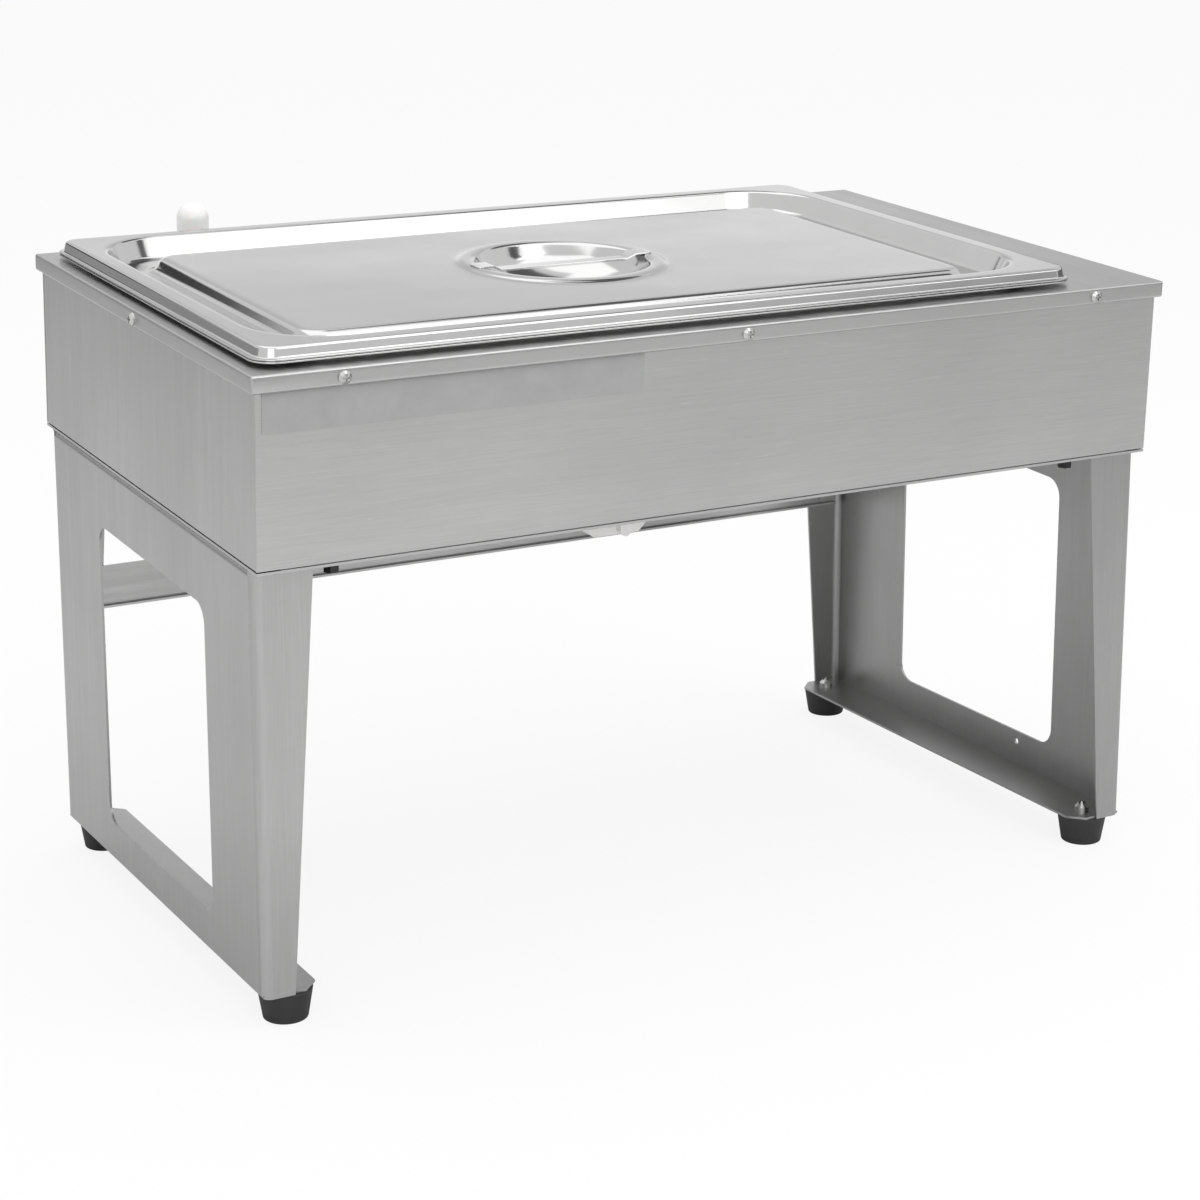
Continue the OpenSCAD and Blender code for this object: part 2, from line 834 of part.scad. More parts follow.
module bottom_plate() {
    color(STEEL)
        in_tank()
            difference() {
                union() {
                    translate([-wall_x, -wall_y, 0])
                        cube([2 * wall_x, 2 * wall_y, bottom_t]);
                    for (a = [0, 180]) {
                        rotate(a)
                            translate([0, -inner_y, 0])
                                upstand(2 * (inner_x - return_w));
                        rotate(a + 90)
                            translate([0, -inner_x, 0])
                                upstand(2 * (inner_y - return_w - panel_t));
                    }
                }
                translate([drain_x, -drain_front, -cut])
                    cylinder(r = spigot_r + 2 * hole_gap, h = bottom_t + 2 * cut);
                at_leg_bolts()
                    translate([0, 0, -cut])
                        cylinder(r = bolt_d / 2 + hole_gap, h = bottom_t + 2 * cut);
            }
}

// Calls its child at each cover screw of the front or rear, with the screw pointing along +Y
module at_long_side_screws() {
    for (x = [-cover_screw_x, 0, cover_screw_x])
        translate([x, -top_d / 2, cover_screw_z])
            rotate([90, 0, 0])
                children();
}

// Calls its child at every cover screw, with +Z pointing out of the tank
module at_cover_screws() {
    for (a = [0, 180])
        rotate(a)
            at_long_side_screws()
                children();
    for (a = [-90, 90])
        rotate([0, 0, a])
            translate([0, -top_w / 2, cover_screw_z])
                rotate([90, 0, 0])
                    children();
}

// Clearance holes for every cover screw
module cover_screw_holes() {
    at_cover_screws()
        translate([0, 0, -cover_screw_l - cut])
            cylinder(r = screw_d / 2 + hole_gap, h = cover_screw_l + 2 * cut);
}

// A long panel with a return at each end, at the front of the tank
module long_panel() {
    h = plate_z - panel_z;
    translate([-wall_x, -wall_y, panel_z])
        cube([2 * wall_x, panel_t, h]);
    for (sx = [-1, 1])
        translate([sx * (inner_x - panel_t / 2) - panel_t / 2, -inner_y - bond, panel_z])
            cube([panel_t, return_w + bond, h]);
}

// A flat panel at the left or right end of the tank
module end_panel(sx) {
    d = 2 * (inner_y - seat_gap);
    translate([sx * (wall_x - panel_t / 2) - panel_t / 2, -d / 2, panel_z])
        cube([panel_t, d, plate_z - panel_z]);
}

module front_panel() {
    color(STEEL)
        in_tank()
            difference() {
                long_panel();
                cover_screw_holes();
            }
}

module rear_panel() {
    color(STEEL)
        in_tank()
            difference() {
                rotate(180)
                    long_panel();
                cover_screw_holes();
                translate([filler_x, inner_y - cut, filler_z])
                    rotate([-90, 0, 0])
                        cylinder(r = filler_r + 2 * hole_gap, h = panel_t + 2 * cut);
                translate([inlet_x, inner_y, inlet_z])
                    inlet_box(socket_wall + hole_gap, panel_t + cut, cut);
                at_inlet_screws()
                    translate([0, 0, -2 * panel_t - inlet_flange_t])
                        cylinder(r = screw_d / 2 + hole_gap, h = 2 * panel_t + inlet_flange_t + cut);
            }
}

module left_panel() {
    color(STEEL)
        in_tank()
            difference() {
                end_panel(-1);
                cover_screw_holes();
            }
}

module right_panel() {
    color(STEEL)
        in_tank()
            difference() {
                end_panel(1);
                cover_screw_holes();
                at_control(-thermostat_y)
                    translate([0, 0, -panel_t - cut])
                        cylinder(r = bushing_r + hole_gap, h = panel_t + 2 * cut);
                at_control(0)
                    translate([-switch_h / 2, -switch_w / 2, -panel_t - cut])
                        cube([switch_h, switch_w, panel_t + 2 * cut]);
                at_control(lamp_y)
                    translate([0, 0, -panel_t - cut])
                        cylinder(r = lamp_r + hole_gap, h = panel_t + 2 * cut);
            }
}

module top_plate() {
    vent_d = 3;
    color(STEEL)
        in_tank()
            difference() {
                union() {
                    translate([-top_w / 2, -top_d / 2, plate_z])
                        cube([top_w, top_d, top_t]);
                    translate([0, 0, tank_h - skirt_h])
                        linear_extrude(skirt_h - top_t + bond)
                            difference() {
                                square([top_w, top_d], center = true);
                                square([top_w - 2 * skirt_t, top_d - 2 * skirt_t], center = true);
                            }
                    translate([pan_x, 0, plate_z])
                        linear_extrude(top_t + lip_h)
                            round_rect(opening_w + 2 * lip_t, opening_d + 2 * lip_t, opening_r + lip_t);
                }
                translate([pan_x, 0, plate_z - cut])
                    linear_extrude(top_t + lip_h + 2 * cut)
                        round_rect(opening_w, opening_d, opening_r);
                translate([pan_x + pan_w / 2 + 20, -14, plate_z - cut])
                    cylinder(d = vent_d, h = top_t + 2 * cut);
                cover_screw_holes();
            }
}

module cover_screws() {
    color(ZINC)
        in_tank()
            at_cover_screws()
                pan_screw(screw_d, cover_screw_l, screw_head_d, screw_head_h);
}

// A wall of the water tub, l long, at the front of a tub of depth d, with its flange f long
module tub_wall(l, f, d) {
    translate([-l / 2, -d / 2 - tub_t, tub_floor - tub_t])
        cube([l, tub_t, plate_z - tub_floor + tub_t]);
    translate([-f / 2, -d / 2 - tub_flange, plate_z - tub_t])
        cube([f, tub_flange, tub_t]);
}

module tub_bottom() {
    color(STEEL)
        in_tank()
            difference() {
                translate([pan_x - tub_w / 2, -tub_d / 2, tub_floor - tub_t])
                    cube([tub_w, tub_d, tub_t]);
                translate([drain_x, -drain_front, tub_floor - tub_t - cut])
                    cylinder(r = spigot_r + hole_gap, h = tub_t + 2 * cut);
            }
}

module tub_front() {
    color(STEEL)
        in_tank()
            translate([pan_x, 0, 0])
                tub_wall(tub_w + 2 * tub_t, tub_w + 2 * tub_flange, tub_d);
}

module tub_rear() {
    color(STEEL)
        in_tank()
            difference() {
                translate([pan_x, 0, 0])
                    rotate(180)
                        tub_wall(tub_w + 2 * tub_t, tub_w + 2 * tub_flange, tub_d);
                translate([filler_x, tub_d / 2 - cut, filler_z])
                    rotate([-90, 0, 0])
                        cylinder(r = filler_r + hole_gap, h = tub_t + 2 * cut);
            }
}

module tub_left() {
    color(STEEL)
        in_tank()
            translate([pan_x, 0, 0])
                rotate(-90)
                    tub_wall(tub_d, tub_d, tub_w);
}

module tub_right() {
    color(STEEL)
        in_tank()
            translate([pan_x, 0, 0])
                rotate(90)
                    tub_wall(tub_d, tub_d, tub_w);
}

module heater_pad() {
    color([0.75, 0.3, 0.16])
        in_tank()
            translate([pan_x, 0, tub_floor - tub_t - heater_t])
                linear_extrude(heater_t)
                    round_rect(heater_w, heater_d, 6);
}

module insulation_board() {
    groove_w = 12;
    groove_h = 2 * bulb_r + 4;
    color([0.85, 0.8, 0.62])
        in_tank()
            difference() {
                translate([-board_w / 2, -board_d / 2, bottom_t])
                    cube([board_w, board_d, board_t]);
                translate([drain_x, -drain_front, bottom_t - cut])
                    cylinder(r = spigot_flange_r + 5, h = board_t + 2 * cut);
                translate([bulb_x - 5, bulb_y - groove_w / 2, bottom_t + board_t - groove_h])
                    cube([board_w, groove_w, groove_h + cut]);
            }
}

module bay_divider() {
    foot_w = 7;
    color(STEEL)
        in_tank()
            difference() {
                union() {
                    translate([divider_x, return_w - inner_y, bottom_t])
                        cube([divider_t, 2 * (inner_y - return_w), plate_z - bottom_t]);
                    translate([divider_x, return_w - inner_y, bottom_t])
                        cube([divider_t + foot_w, 2 * (inner_y - return_w), divider_t]);
                }
                for (spot = [[lead_y, lead_z], [bulb_y, bulb_z]])
                    translate([divider_x - cut, spot[0], spot[1]])
                        rotate([0, 90, 0])
                            cylinder(r = 4, h = divider_t + 2 * cut);
            }
}

// The pan's inner face from its mouth to its floor, measured from the corners' centres
function pan_path() = concat(
    [[mouth_r, pan_t]],
    [
        for (a = [0 : 15 : 90])
            [
                mouth_r - pan_taper - pan_fillet * (1 - cos(a)),
                pan_t - pan_depth + pan_fillet * (1 - sin(a))
            ]
    ],
    [[mouth_r - pan_taper - pan_fillet - 4, pan_t - pan_depth]]
);

module pan() {
    floor_in = pan_taper + pan_fillet + 2;
    color(POLISHED)
        in_tank()
            translate([pan_x, 0, pan_z]) {
                linear_extrude(pan_t)
                    difference() {
                        round_rect(pan_w, pan_d, rim_r);
                        round_rect(mouth_w + bond, mouth_d + bond, mouth_r + bond / 2);
                    }
                translate([0, 0, -rim_drop])
                    round_ring(pan_w, pan_d, rim_r, pan_t, rim_drop + bond);
                swept_rim(mouth_w, mouth_d, mouth_r, sheet_outline(pan_path(), pan_t));
                translate([0, 0, -pan_depth])
                    linear_extrude(pan_t)
                        round_rect(mouth_w - 2 * floor_in, mouth_d - 2 * floor_in, mouth_r - floor_in);
            }
}

// The lid's upper face from the rim's inner edge, over the moat, to the raised panel
function well_path() = [
    [lid_wall_r + 1, 0], [lid_wall_r, 0],
    [lid_wall_r - wall_slope, -moat_depth],
    [lid_wall_r - wall_slope - moat_w, -moat_depth],
    [lid_wall_r - panel_in, -panel_drop],
    [lid_wall_r - panel_in - 1, -panel_drop]
];

// The upper face of the bead and the handle dish, from the bead's outer edge to the dish's middle
function dish_path() = concat(
    [[bead_r + bead_w + 1, -panel_drop]],
    [for (a = [0 : 20 : 180]) [bead_r + bead_w * cos(a), bead_h * sin(a) - panel_drop]],
    [for (a = [15 : 15 : 75]) [dish_r * cos(a), -panel_drop - dish_depth * sin(a)]],
    [[6, -panel_drop - dish_depth], [0, -panel_drop - dish_depth]]
);

module lid() {
    panel_w = well_w - 2 * panel_in;
    panel_d = well_d - 2 * panel_in;
    color(POLISHED)
        in_tank()
            translate([pan_x, 0, lid_z]) {
                swept_rim(lid_w, lid_d, lid_r, sheet_outline([
                    [rim_r, lid_t - lid_skirt_h], [lid_r + lid_lean, lid_t - lid_skirt_h],
                    [lid_r, 0], [lid_r - 2, 0]
                ], lid_t));
                translate([0, 0, -lid_t])
                    linear_extrude(lid_t)
                        difference() {
                            round_rect(lid_w - 2, lid_d - 2, lid_r - 1);
                            round_rect(well_w + 1, well_d + 1, lid_wall_r + 0.5);
                        }
                swept_rim(well_w, well_d, lid_wall_r, sheet_outline(well_path(), lid_t));
                translate([0, 0, -panel_drop - lid_t])
                    linear_extrude(lid_t)
                        difference() {
                            round_rect(panel_w - 1, panel_d - 1, lid_wall_r - panel_in - 0.5);
                            circle(bead_r + bead_w + 0.5);
                        }
                rotate_extrude()
                    polygon(sheet_outline(dish_path(), lid_t));
            }
}

module lid_handle() {
    tab_end = bead_r + bead_w / 2;
    tab_start = tab_end - tab_l;
    bar_end = tab_start - strap_step;
    color(POLISHED)
        in_tank()
            translate([pan_x, 0, lid_z + strap_z + 0.05]) {
                translate([-bar_end, 0, -strap_sink])
                    rotate([90, 0, 90])
                        linear_extrude(2 * bar_end)
                            intersection() {
                                translate([-strap_w / 2, 0])
                                    square([strap_w, strap_t]);
                                translate([0, strap_t - 2 * strap_w])
                                    circle(2 * strap_w);
                            }
                for (turn = [0, 180])
                    rotate(turn) {
                        rotate([90, 0, 0])
                            linear_extrude(strap_w, center = true)
                                polygon([
                                    [bar_end - 0.5, -strap_sink], [bar_end, -strap_sink],
                                    [tab_start + 0.5, 0], [tab_start + 0.5, tab_t],
                                    [tab_start - 0.5, tab_t], [bar_end - 0.5, tab_t - strap_sink]
                                ]);
                        translate([tab_start + tab_l / 2, 0, 0])
                            linear_extrude(tab_t)
                                round_rect(tab_l, strap_w + 4, 3);
                    }
            }
}

// Puts a piece of the drain under the front of the pan
module at_drain() {
    translate([drain_x, -drain_front, 0])
        children();
}

module drain_spigot() {
    flange_z = tub_floor + gasket_t;
    low = drain_top - spigot_in;
    color(WHITE)
        in_tank()
            at_drain()
                difference() {
                    union() {
                        translate([0, 0, flange_z])
                            cylinder(r = spigot_flange_r, h = spigot_flange_t);
                        translate([0, 0, low])
                            cylinder(r = spigot_r, h = flange_z - low + bond);
                    }
                    translate([0, 0, low - cut])
                        cylinder(r = flow_r, h = flange_z + spigot_flange_t - low + 2 * cut);
                }
}

module drain_gasket() {
    color(BLACK)
        in_tank()
            at_drain()
                translate([0, 0, tub_floor])
                    difference() {
                        cylinder(r = spigot_flange_r, h = gasket_t);
                        translate([0, 0, -cut])
                            cylinder(r = spigot_r + hole_gap, h = gasket_t + 2 * cut);
                    }
}

module drain_nut() {
    t = 8;
    color(WHITE)
        in_tank()
            at_drain()
                translate([0, 0, tub_floor - tub_t - t])
                    hex_nut(spigot_flange_r, spigot_r + hole_gap, t);
}

module drain_body() {
    low = drain_top - drain_h;
    bevel_w = 8;
    bevel_h = 9;
    color(WHITE)
        in_tank()
            at_drain()
                difference() {
                    translate([0, drain_d / 2, 0])
                        rotate([90, 0, 0])
                            linear_extrude(drain_d)
                                polygon([
                                    [-drain_w / 2, drain_top], [-drain_w / 2, low + bevel_h],
                                    [bevel_w - drain_w / 2, low], [drain_w / 2 - bevel_w, low],
                                    [drain_w / 2, low + bevel_h], [drain_w / 2, drain_top]
                                ]);
                    translate([0, 0, drain_top - spigot_in])
                        cylinder(r = spigot_r + hole_gap, h = spigot_in + cut);
                    translate([0, 0, low - cut])
                        cylinder(r = flow_r, h = drain_h + cut);
                    translate([0, 0, low - cut])
                        cylinder(r = outlet_r, h = outlet_l + cut);
                    translate([0, drain_d / 2 + cut, plug_z])
                        rotate([90, 0, 0])
                            cylinder(r = plug_r, h = drain_d + 2 * cut);
                }
}

module drain_plug() {
    turn_r = plug_r - plug_gap;
    tail = drain_face + seat_gap + ring_t;
    collar_face = -drain_face - collar_l;
    color(WHITE)
        in_tank()
            at_drain()
                translate([0, 0, plug_z])
                    difference() {
                        union() {
                            rotate([-90, 0, 0]) {
                                translate([0, 0, -drain_face - bond])
                                    cylinder(r = turn_r, h = 2 * drain_face + bond);
                                translate([0, 0, collar_face])
                                    cylinder(r = collar_r, h = collar_l);
                                translate([0, 0, drain_face - bond])
                                    cylinder(r = groove_r, h = seat_gap + ring_t + bond);
                                translate([0, 0, tail])
                                    cylinder(r = turn_r, h = 2);
                            }
                            translate([0, collar_face + bond, 0])
                                rotate([90, 0, 0])
                                    linear_extrude(thumb_t + bond) {
                                        translate([-tab_w / 2, tab_w / 2 - thumb_l])
                                            square([tab_w, thumb_l]);
                                        translate([0, tab_w / 2 - thumb_l])
                                            circle(d = tab_w);
                                    }
                        }
                        rotate([0, 90, 0])
                            cylinder(r = flow_r - 0.5, h = 4 * plug_r, center = true);
                    }
}

module plug_ring() {
    color(ZINC)
        in_tank()
            at_drain()
                translate([0, drain_face + seat_gap / 2, plug_z])
                    rotate([-90, 0, 0])
                        difference() {
                            cylinder(r = ring_r, h = ring_t);
                            translate([0, 0, -cut])
                                cylinder(r = groove_r + hole_gap, h = ring_t + 2 * cut);
                        }
}

module filler_elbow() {
    color(WHITE)
        in_tank()
            translate([filler_x, 0, 0])
                difference() {
                    union() {
                        translate([0, filler_inside, filler_z])
                            rotate([-90, 0, 0])
                                cylinder(r = filler_r, h = neck_y - filler_inside);
                        translate([0, wall_y + gasket_t, filler_z])
                            rotate([-90, 0, 0])
                                cylinder(r = filler_flange_r, h = spigot_flange_t);
                        translate([0, neck_y, filler_z]) {
                            sphere(filler_r);
                            cylinder(r = filler_r, h = neck_top - filler_z);
                        }
                        translate([0, neck_y, neck_collar_z])
                            cylinder(r = neck_collar_r, h = neck_collar_h);
                    }
                    translate([0, filler_inside - cut, filler_z])
                        rotate([-90, 0, 0])
                            cylinder(r = filler_bore_r, h = neck_y - filler_inside + cut);
                    translate([0, neck_y, filler_z])
                        cylinder(r = filler_bore_r, h = neck_top - filler_z + cut);
                }
}

module filler_gasket() {
    color(BLACK)
        in_tank()
            translate([filler_x, wall_y, filler_z])
                rotate([-90, 0, 0])
                    difference() {
                        cylinder(r = filler_flange_r, h = gasket_t);
                        translate([0, 0, -cut])
                            cylinder(r = filler_r + hole_gap, h = gasket_t + 2 * cut);
                    }
}

module filler_nut() {
    color(WHITE)
        in_tank()
            translate([filler_x, tub_d / 2, filler_z])
                rotate([90, 0, 0])
                    hex_nut(filler_nut_r, filler_r + hole_gap, filler_nut_t);
}

module filler_cap() {
    low = tank_h - cap_down;
    dome_z = tank_h + cap_up - cap_r;
    color(WHITE)
        in_tank()
            translate([filler_x, neck_y, 0])
                difference() {
                    union() {
                        translate([0, 0, low])
                            cylinder(r = cap_r, h = dome_z - low);
                        translate([0, 0, dome_z])
                            sphere(cap_r);
                    }
                    translate([0, 0, low - cap_r - cut])
                        cylinder(r = cap_r + cut, h = cap_r + cut);
                    translate([0, 0, low - cut])
                        cylinder(r = filler_r + cap_gap, h = dome_z - low + cut);
                }
}

// Puts a control on the right panel at the given depth: +Z points out of the tank and +X down
module at_control(y) {
    translate([wall_x, y, control_z])
        rotate([0, 90, 0])
            children();
}

module thermostat() {
    color([0.2, 0.2, 0.21])
        in_tank()
            at_control(-thermostat_y)
                difference() {
                    union() {
                        translate([-thermostat_w / 2, -thermostat_w / 2, -panel_t - thermostat_d])
                            cube([thermostat_w, thermostat_w, thermostat_d]);
                        translate([0, 0, -panel_t - bond])
                            cylinder(r = bushing_r, h = panel_t + dial_t + dial_nut_t + bond);
                    }
                    translate([0, 0, -panel_t - thermostat_d / 2])
                        cylinder(r = shaft_r + shaft_gap, h = thermostat_d + dial_t + dial_nut_t);
                }
}

module thermostat_nut() {
    color(ZINC)
        in_tank()
            at_control(-thermostat_y)
                translate([0, 0, dial_t])
                    hex_nut(nut_r, bushing_r + hole_gap, dial_nut_t);
}

module thermostat_shaft() {
    in = panel_t + thermostat_d / 2 - seat_gap;
    out = dial_t + knob_gap + knob_l - 5;
    color(ZINC)
        in_tank()
            at_control(-thermostat_y)
                translate([0, 0, -in])
                    cylinder(r = shaft_r, h = in + out);
}

module thermostat_knob() {
    hollow = dial_nut_t + 1;
    grips = 12;
    color(BLACK)
        in_tank()
            at_control(-thermostat_y)
                translate([0, 0, dial_t + knob_gap])
                    difference() {
                        union() {
                            cylinder(r = knob_r, h = 4);
                            cylinder(r1 = knob_r - 2, r2 = knob_r - 4, h = knob_l);
                        }
                        translate([0, 0, -cut])
                            cylinder(r = nut_r + 2, h = hollow + cut);
                        translate([0, 0, hollow - cut])
                            cylinder(r = shaft_r + shaft_gap, h = knob_l - 5 - hollow + cut);
                        for (i = [0 : grips - 1])
                            rotate(360 / grips * i)
                                translate([knob_r, 0, 5])
                                    cylinder(r = 3, h = knob_l);
                    }
}

module dial_plate() {
    color(STEEL)
        in_tank()
            at_control(-thermostat_y)
                difference() {
                    cylinder(r = dial_r, h = dial_t);
                    translate([0, 0, -cut])
                        cylinder(r = bushing_r + hole_gap, h = dial_t + 2 * cut);
                }
}

module sensor_bulb() {
    tube_x = bay_x + 3;
    color([0.75, 0.48, 0.3])
        in_tank() {
            bar([bulb_x, bulb_y, bulb_z], [bulb_x + bulb_l, bulb_y, bulb_z], bulb_r);
            wire([
                [bulb_x + bulb_l - bond, bulb_y, bulb_z], [tube_x, bulb_y, bulb_z],
                [tube_x, bulb_y, control_z + 8], [thermostat_back, bulb_y, control_z + 8]
            ], tube_r);
        }
}

module power_switch() {
    well = [switch_h - 4, switch_w - 4];
    color(BLACK)
        in_tank()
            at_control(0)
                difference() {
                    union() {
                        translate([-switch_h / 2 - bezel_w, -switch_w / 2 - bezel_w, 0])
                            cube([switch_h + 2 * bezel_w, switch_w + 2 * bezel_w, bezel_t]);
                        translate([hole_gap - switch_h / 2, hole_gap - switch_w / 2, -panel_t - switch_d])
                            cube([switch_h - 2 * hole_gap, switch_w - 2 * hole_gap, panel_t + switch_d + bond]);
                    }
                    translate([-well.x / 2, -well.y / 2, -panel_t - switch_d / 2])
                        cube([well.x, well.y, switch_d]);
                    translate([0, 0, -1])
                        rotate([90, 0, 0])
                            cylinder(d = 3.1, h = switch_w - 2, center = true);
                }
}

module power_rocker() {
    half = switch_h / 2 - 3;
    side = switch_w - 5;
    color([0.55, 0.06, 0.05])
        in_tank()
            at_control(0)
                translate([0, 0, -1])
                    rotate([90, rocker_angle, 0]) {
                        translate([0, 0, -side / 2])
                            linear_extrude(side)
                                polygon([
                                    [-half, bezel_t + 3], [-half, -2], [0, -5], [half, -2],
                                    [half, bezel_t + 3], [0, bezel_t + 1]
                                ]);
                        cylinder(d = 3, h = switch_w - 3, center = true);
                    }
}

module pilot_lamp() {
    color([0.85, 0.35, 0.08])
        in_tank()
            at_control(lamp_y) {
                translate([0, 0, -panel_t - 18])
                    cylinder(r = lamp_r, h = panel_t + 18 + bond);
                cylinder(r = lamp_r + 2, h = 1.5);
                translate([0, 0, 1.5])
                    intersection() {
                        sphere(lamp_r);
                        cylinder(r = lamp_r + cut, h = lamp_r + cut);
                    }
            }
}

// A box round the inlet's socket with the given wall, from y = -front to y = depth
module inlet_box(wall, depth, front) {
    translate([-socket_w / 2 - wall, -front, -socket_h / 2 - wall])
        cube([socket_w + 2 * wall, depth + front, socket_h + 2 * wall]);
}

// Calls its child at the inlet's two screws, with +Z pointing to the rear
module at_inlet_screws() {
    for (sz = [-1, 1])
        translate([inlet_x, wall_y + inlet_flange_t, inlet_z + sz * inlet_pitch / 2])
            rotate([-90, 0, 0])
                children();
}

module power_inlet() {
    back = socket_d + 6 - inlet_flange_t;
    pin = [2, 11, 5];
    color(BLACK)
        in_tank() {
            difference() {
                union() {
                    translate([inlet_x, wall_y, inlet_z])
                        inlet_box(socket_wall, inlet_flange_t, back);
                    translate([inlet_x, wall_y + inlet_flange_t, inlet_z])
                        rotate([90, 0, 0])
                            linear_extrude(inlet_flange_t)
                                round_rect(socket_w + 8, inlet_pitch + 12, 5);
                }
                translate([inlet_x, wall_y + inlet_flange_t - socket_d, inlet_z])
                    inlet_box(0, socket_d + cut, 0);
                at_inlet_screws()
                    translate([0, 0, -inlet_flange_t - cut])
                        cylinder(r = screw_d / 2 + hole_gap, h = inlet_flange_t + 2 * cut);
            }
            for (spot = [[-3, -7], [3, 0], [-3, 7]])
                translate([
                    inlet_x + spot[0] - pin.x / 2,
                    wall_y + inlet_flange_t - socket_d - bond,
                    inlet_z + spot[1] - pin.z / 2
                ])
                    cube(pin);
        }
}

module inlet_screws() {
    color(ZINC)
        in_tank()
            at_inlet_screws()
                pan_screw(screw_d, inlet_flange_t + panel_t + 3, screw_head_d, screw_head_h);
}

module terminal_block() {
    color([0.9, 0.88, 0.8])
        in_tank()
            translate([block_x, block_y, bottom_t])
                difference() {
                    cube([block_w, block_d, block_h]);
                    for (i = [0 : block_ways - 1])
                        translate([block_w / 4, block_pitch * (i + 0.5), block_h - 6])
                            cylinder(d = 6, h = 6 + cut);
                }
}

module wiring() {
    run_x = bay_x + 4;
    block_top = bottom_t + block_h;
    port_x = block_x + 0.75 * block_w;
    port_y = [for (i = [0 : block_ways - 1]) block_y + block_pitch * (i + 0.5)];
    inlet_back = wall_y - socket_d - 6 + inlet_flange_t;
    high = control_z - 8;
    low = control_z - 16;
    color([0.75, 0.12, 0.1])
        in_tank() {
            wire([
                [port_x, inlet_back, inlet_z], [port_x, port_y[3], inlet_z],
                [port_x, port_y[3], block_top]
            ], wire_r);
            wire([
                [port_x, port_y[1], block_top], [port_x, port_y[1], low],
                [run_x, port_y[1], low], [run_x, 4, low],
                [run_x, 4, control_z], [switch_back, 4, control_z]
            ], wire_r);
            wire([
                [switch_back, -4, high], [run_x, -4, high],
                [run_x, -thermostat_y + 10, high], [thermostat_back, -thermostat_y + 10, high]
            ], wire_r);
            wire([
                [thermostat_back, -thermostat_y, high], [run_x, -thermostat_y, high],
                [run_x, -thermostat_y, lead_z], [run_x, lead_y, lead_z],
                [pan_x + heater_w / 2, lead_y, lead_z]
            ], wire_r);
        }
}

left_leg_frame();
right_leg_frame();
rear_brace();
brace_screws();
brace_nuts();
foot_front_left();
foot_front_right();
foot_rear_left();
foot_rear_right();
foot_screws();
leg_bolts();
leg_nuts();
bottom_plate();
front_panel();
rear_panel();
left_panel();
right_panel();
top_plate();
cover_screws();
tub_bottom();
tub_front();
tub_rear();
tub_left();
tub_right();
heater_pad();
insulation_board();
bay_divider();
pan();
lid();
lid_handle();
drain_spigot();
drain_gasket();
drain_nut();
drain_body();
drain_plug();
plug_ring();
filler_elbow();
filler_gasket();
filler_nut();
filler_cap();
thermostat();
thermostat_nut();
thermostat_shaft();
thermostat_knob();
dial_plate();
sensor_bulb();
power_switch();
power_rocker();
pilot_lamp();
power_inlet();
inlet_screws();
terminal_block();
wiring();
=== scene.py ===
import json
import math

import bmesh
import bpy
from mathutils import Matrix, Vector


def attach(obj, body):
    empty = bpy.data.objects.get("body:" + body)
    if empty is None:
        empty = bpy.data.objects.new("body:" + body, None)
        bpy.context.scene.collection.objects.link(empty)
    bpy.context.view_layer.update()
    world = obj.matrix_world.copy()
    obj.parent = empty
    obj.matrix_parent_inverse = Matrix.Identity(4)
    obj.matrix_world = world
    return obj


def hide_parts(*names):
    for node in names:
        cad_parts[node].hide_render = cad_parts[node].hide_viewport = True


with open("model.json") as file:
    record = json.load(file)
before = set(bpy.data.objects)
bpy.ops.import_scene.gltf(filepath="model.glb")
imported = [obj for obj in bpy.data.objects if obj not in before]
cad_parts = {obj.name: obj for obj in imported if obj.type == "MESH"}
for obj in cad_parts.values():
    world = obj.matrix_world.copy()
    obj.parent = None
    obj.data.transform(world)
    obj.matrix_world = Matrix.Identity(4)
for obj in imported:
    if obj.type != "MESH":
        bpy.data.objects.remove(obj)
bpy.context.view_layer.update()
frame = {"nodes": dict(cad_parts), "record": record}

MM = 0.001
TILT = math.radians(2.45)


def at(x, y, z):
    """A move by millimetres."""
    return Matrix.Translation((x * MM, y * MM, z * MM))


# Sizes in millimetres, in the tank's frame
TANK_H = 108
TOP_W, TOP_D = 596, 347
SKIRT = 3.5  # from the top plate's edge in to the panels' outer faces
TOP_FOLD, LEG_FOLD = 1.5, 4  # how far the top plate's and the leg frames' folds are rounded
PAN_X = -25
PAN_Z = 110.3
LID_Z = 118.5
SHEET = 1  # the pan's and the lid's sheet
RIM_X, RIM_Y = 251, 148.5  # the corner centres of the pan's and the lid's rims
LID_WELL_X, LID_WELL_Y = 204, 101.5
PAN_WELL_X, PAN_WELL_Y = 206.5, 104
STRAP_L, STRAP_W, STRAP_T = 120, 9, 1.6
STRAP_Z = -6.05  # the bar's middle, from the lid's rim
STEP_IN, STEP_OUT, STEP_UP = 43, 49, 3.1  # where the bar steps up to its tabs, and by how much
LABEL_W, LABEL_H, LABEL_T = 226, 22, 0.25
LABEL_IN, LABEL_DOWN = 120, 21.5  # its middle, from the top plate's left and upper edges
DIAL_Y, DIAL_Z = -70, 58
DIAL_FACE, KNOB_FACE = 1, 21.5  # how far out of the right panel the two faces are

# The sloped tank's own frame, whose origin is the middle of its underside
TANK = at(-7.8, -6.2595, 265) @ Matrix.Rotation(TILT, 4, "X")
PAN_FRAME = TANK @ at(PAN_X, 0, PAN_Z)
LID_FRAME = TANK @ at(PAN_X, 0, LID_Z)
# The thermostat dial's frame on the right panel: Z points out of the tank and X down
DIAL_FRAME = TANK @ at(TOP_W / 2 - SKIRT, DIAL_Y, DIAL_Z) @ Matrix.Rotation(math.pi / 2, 4, "Y")

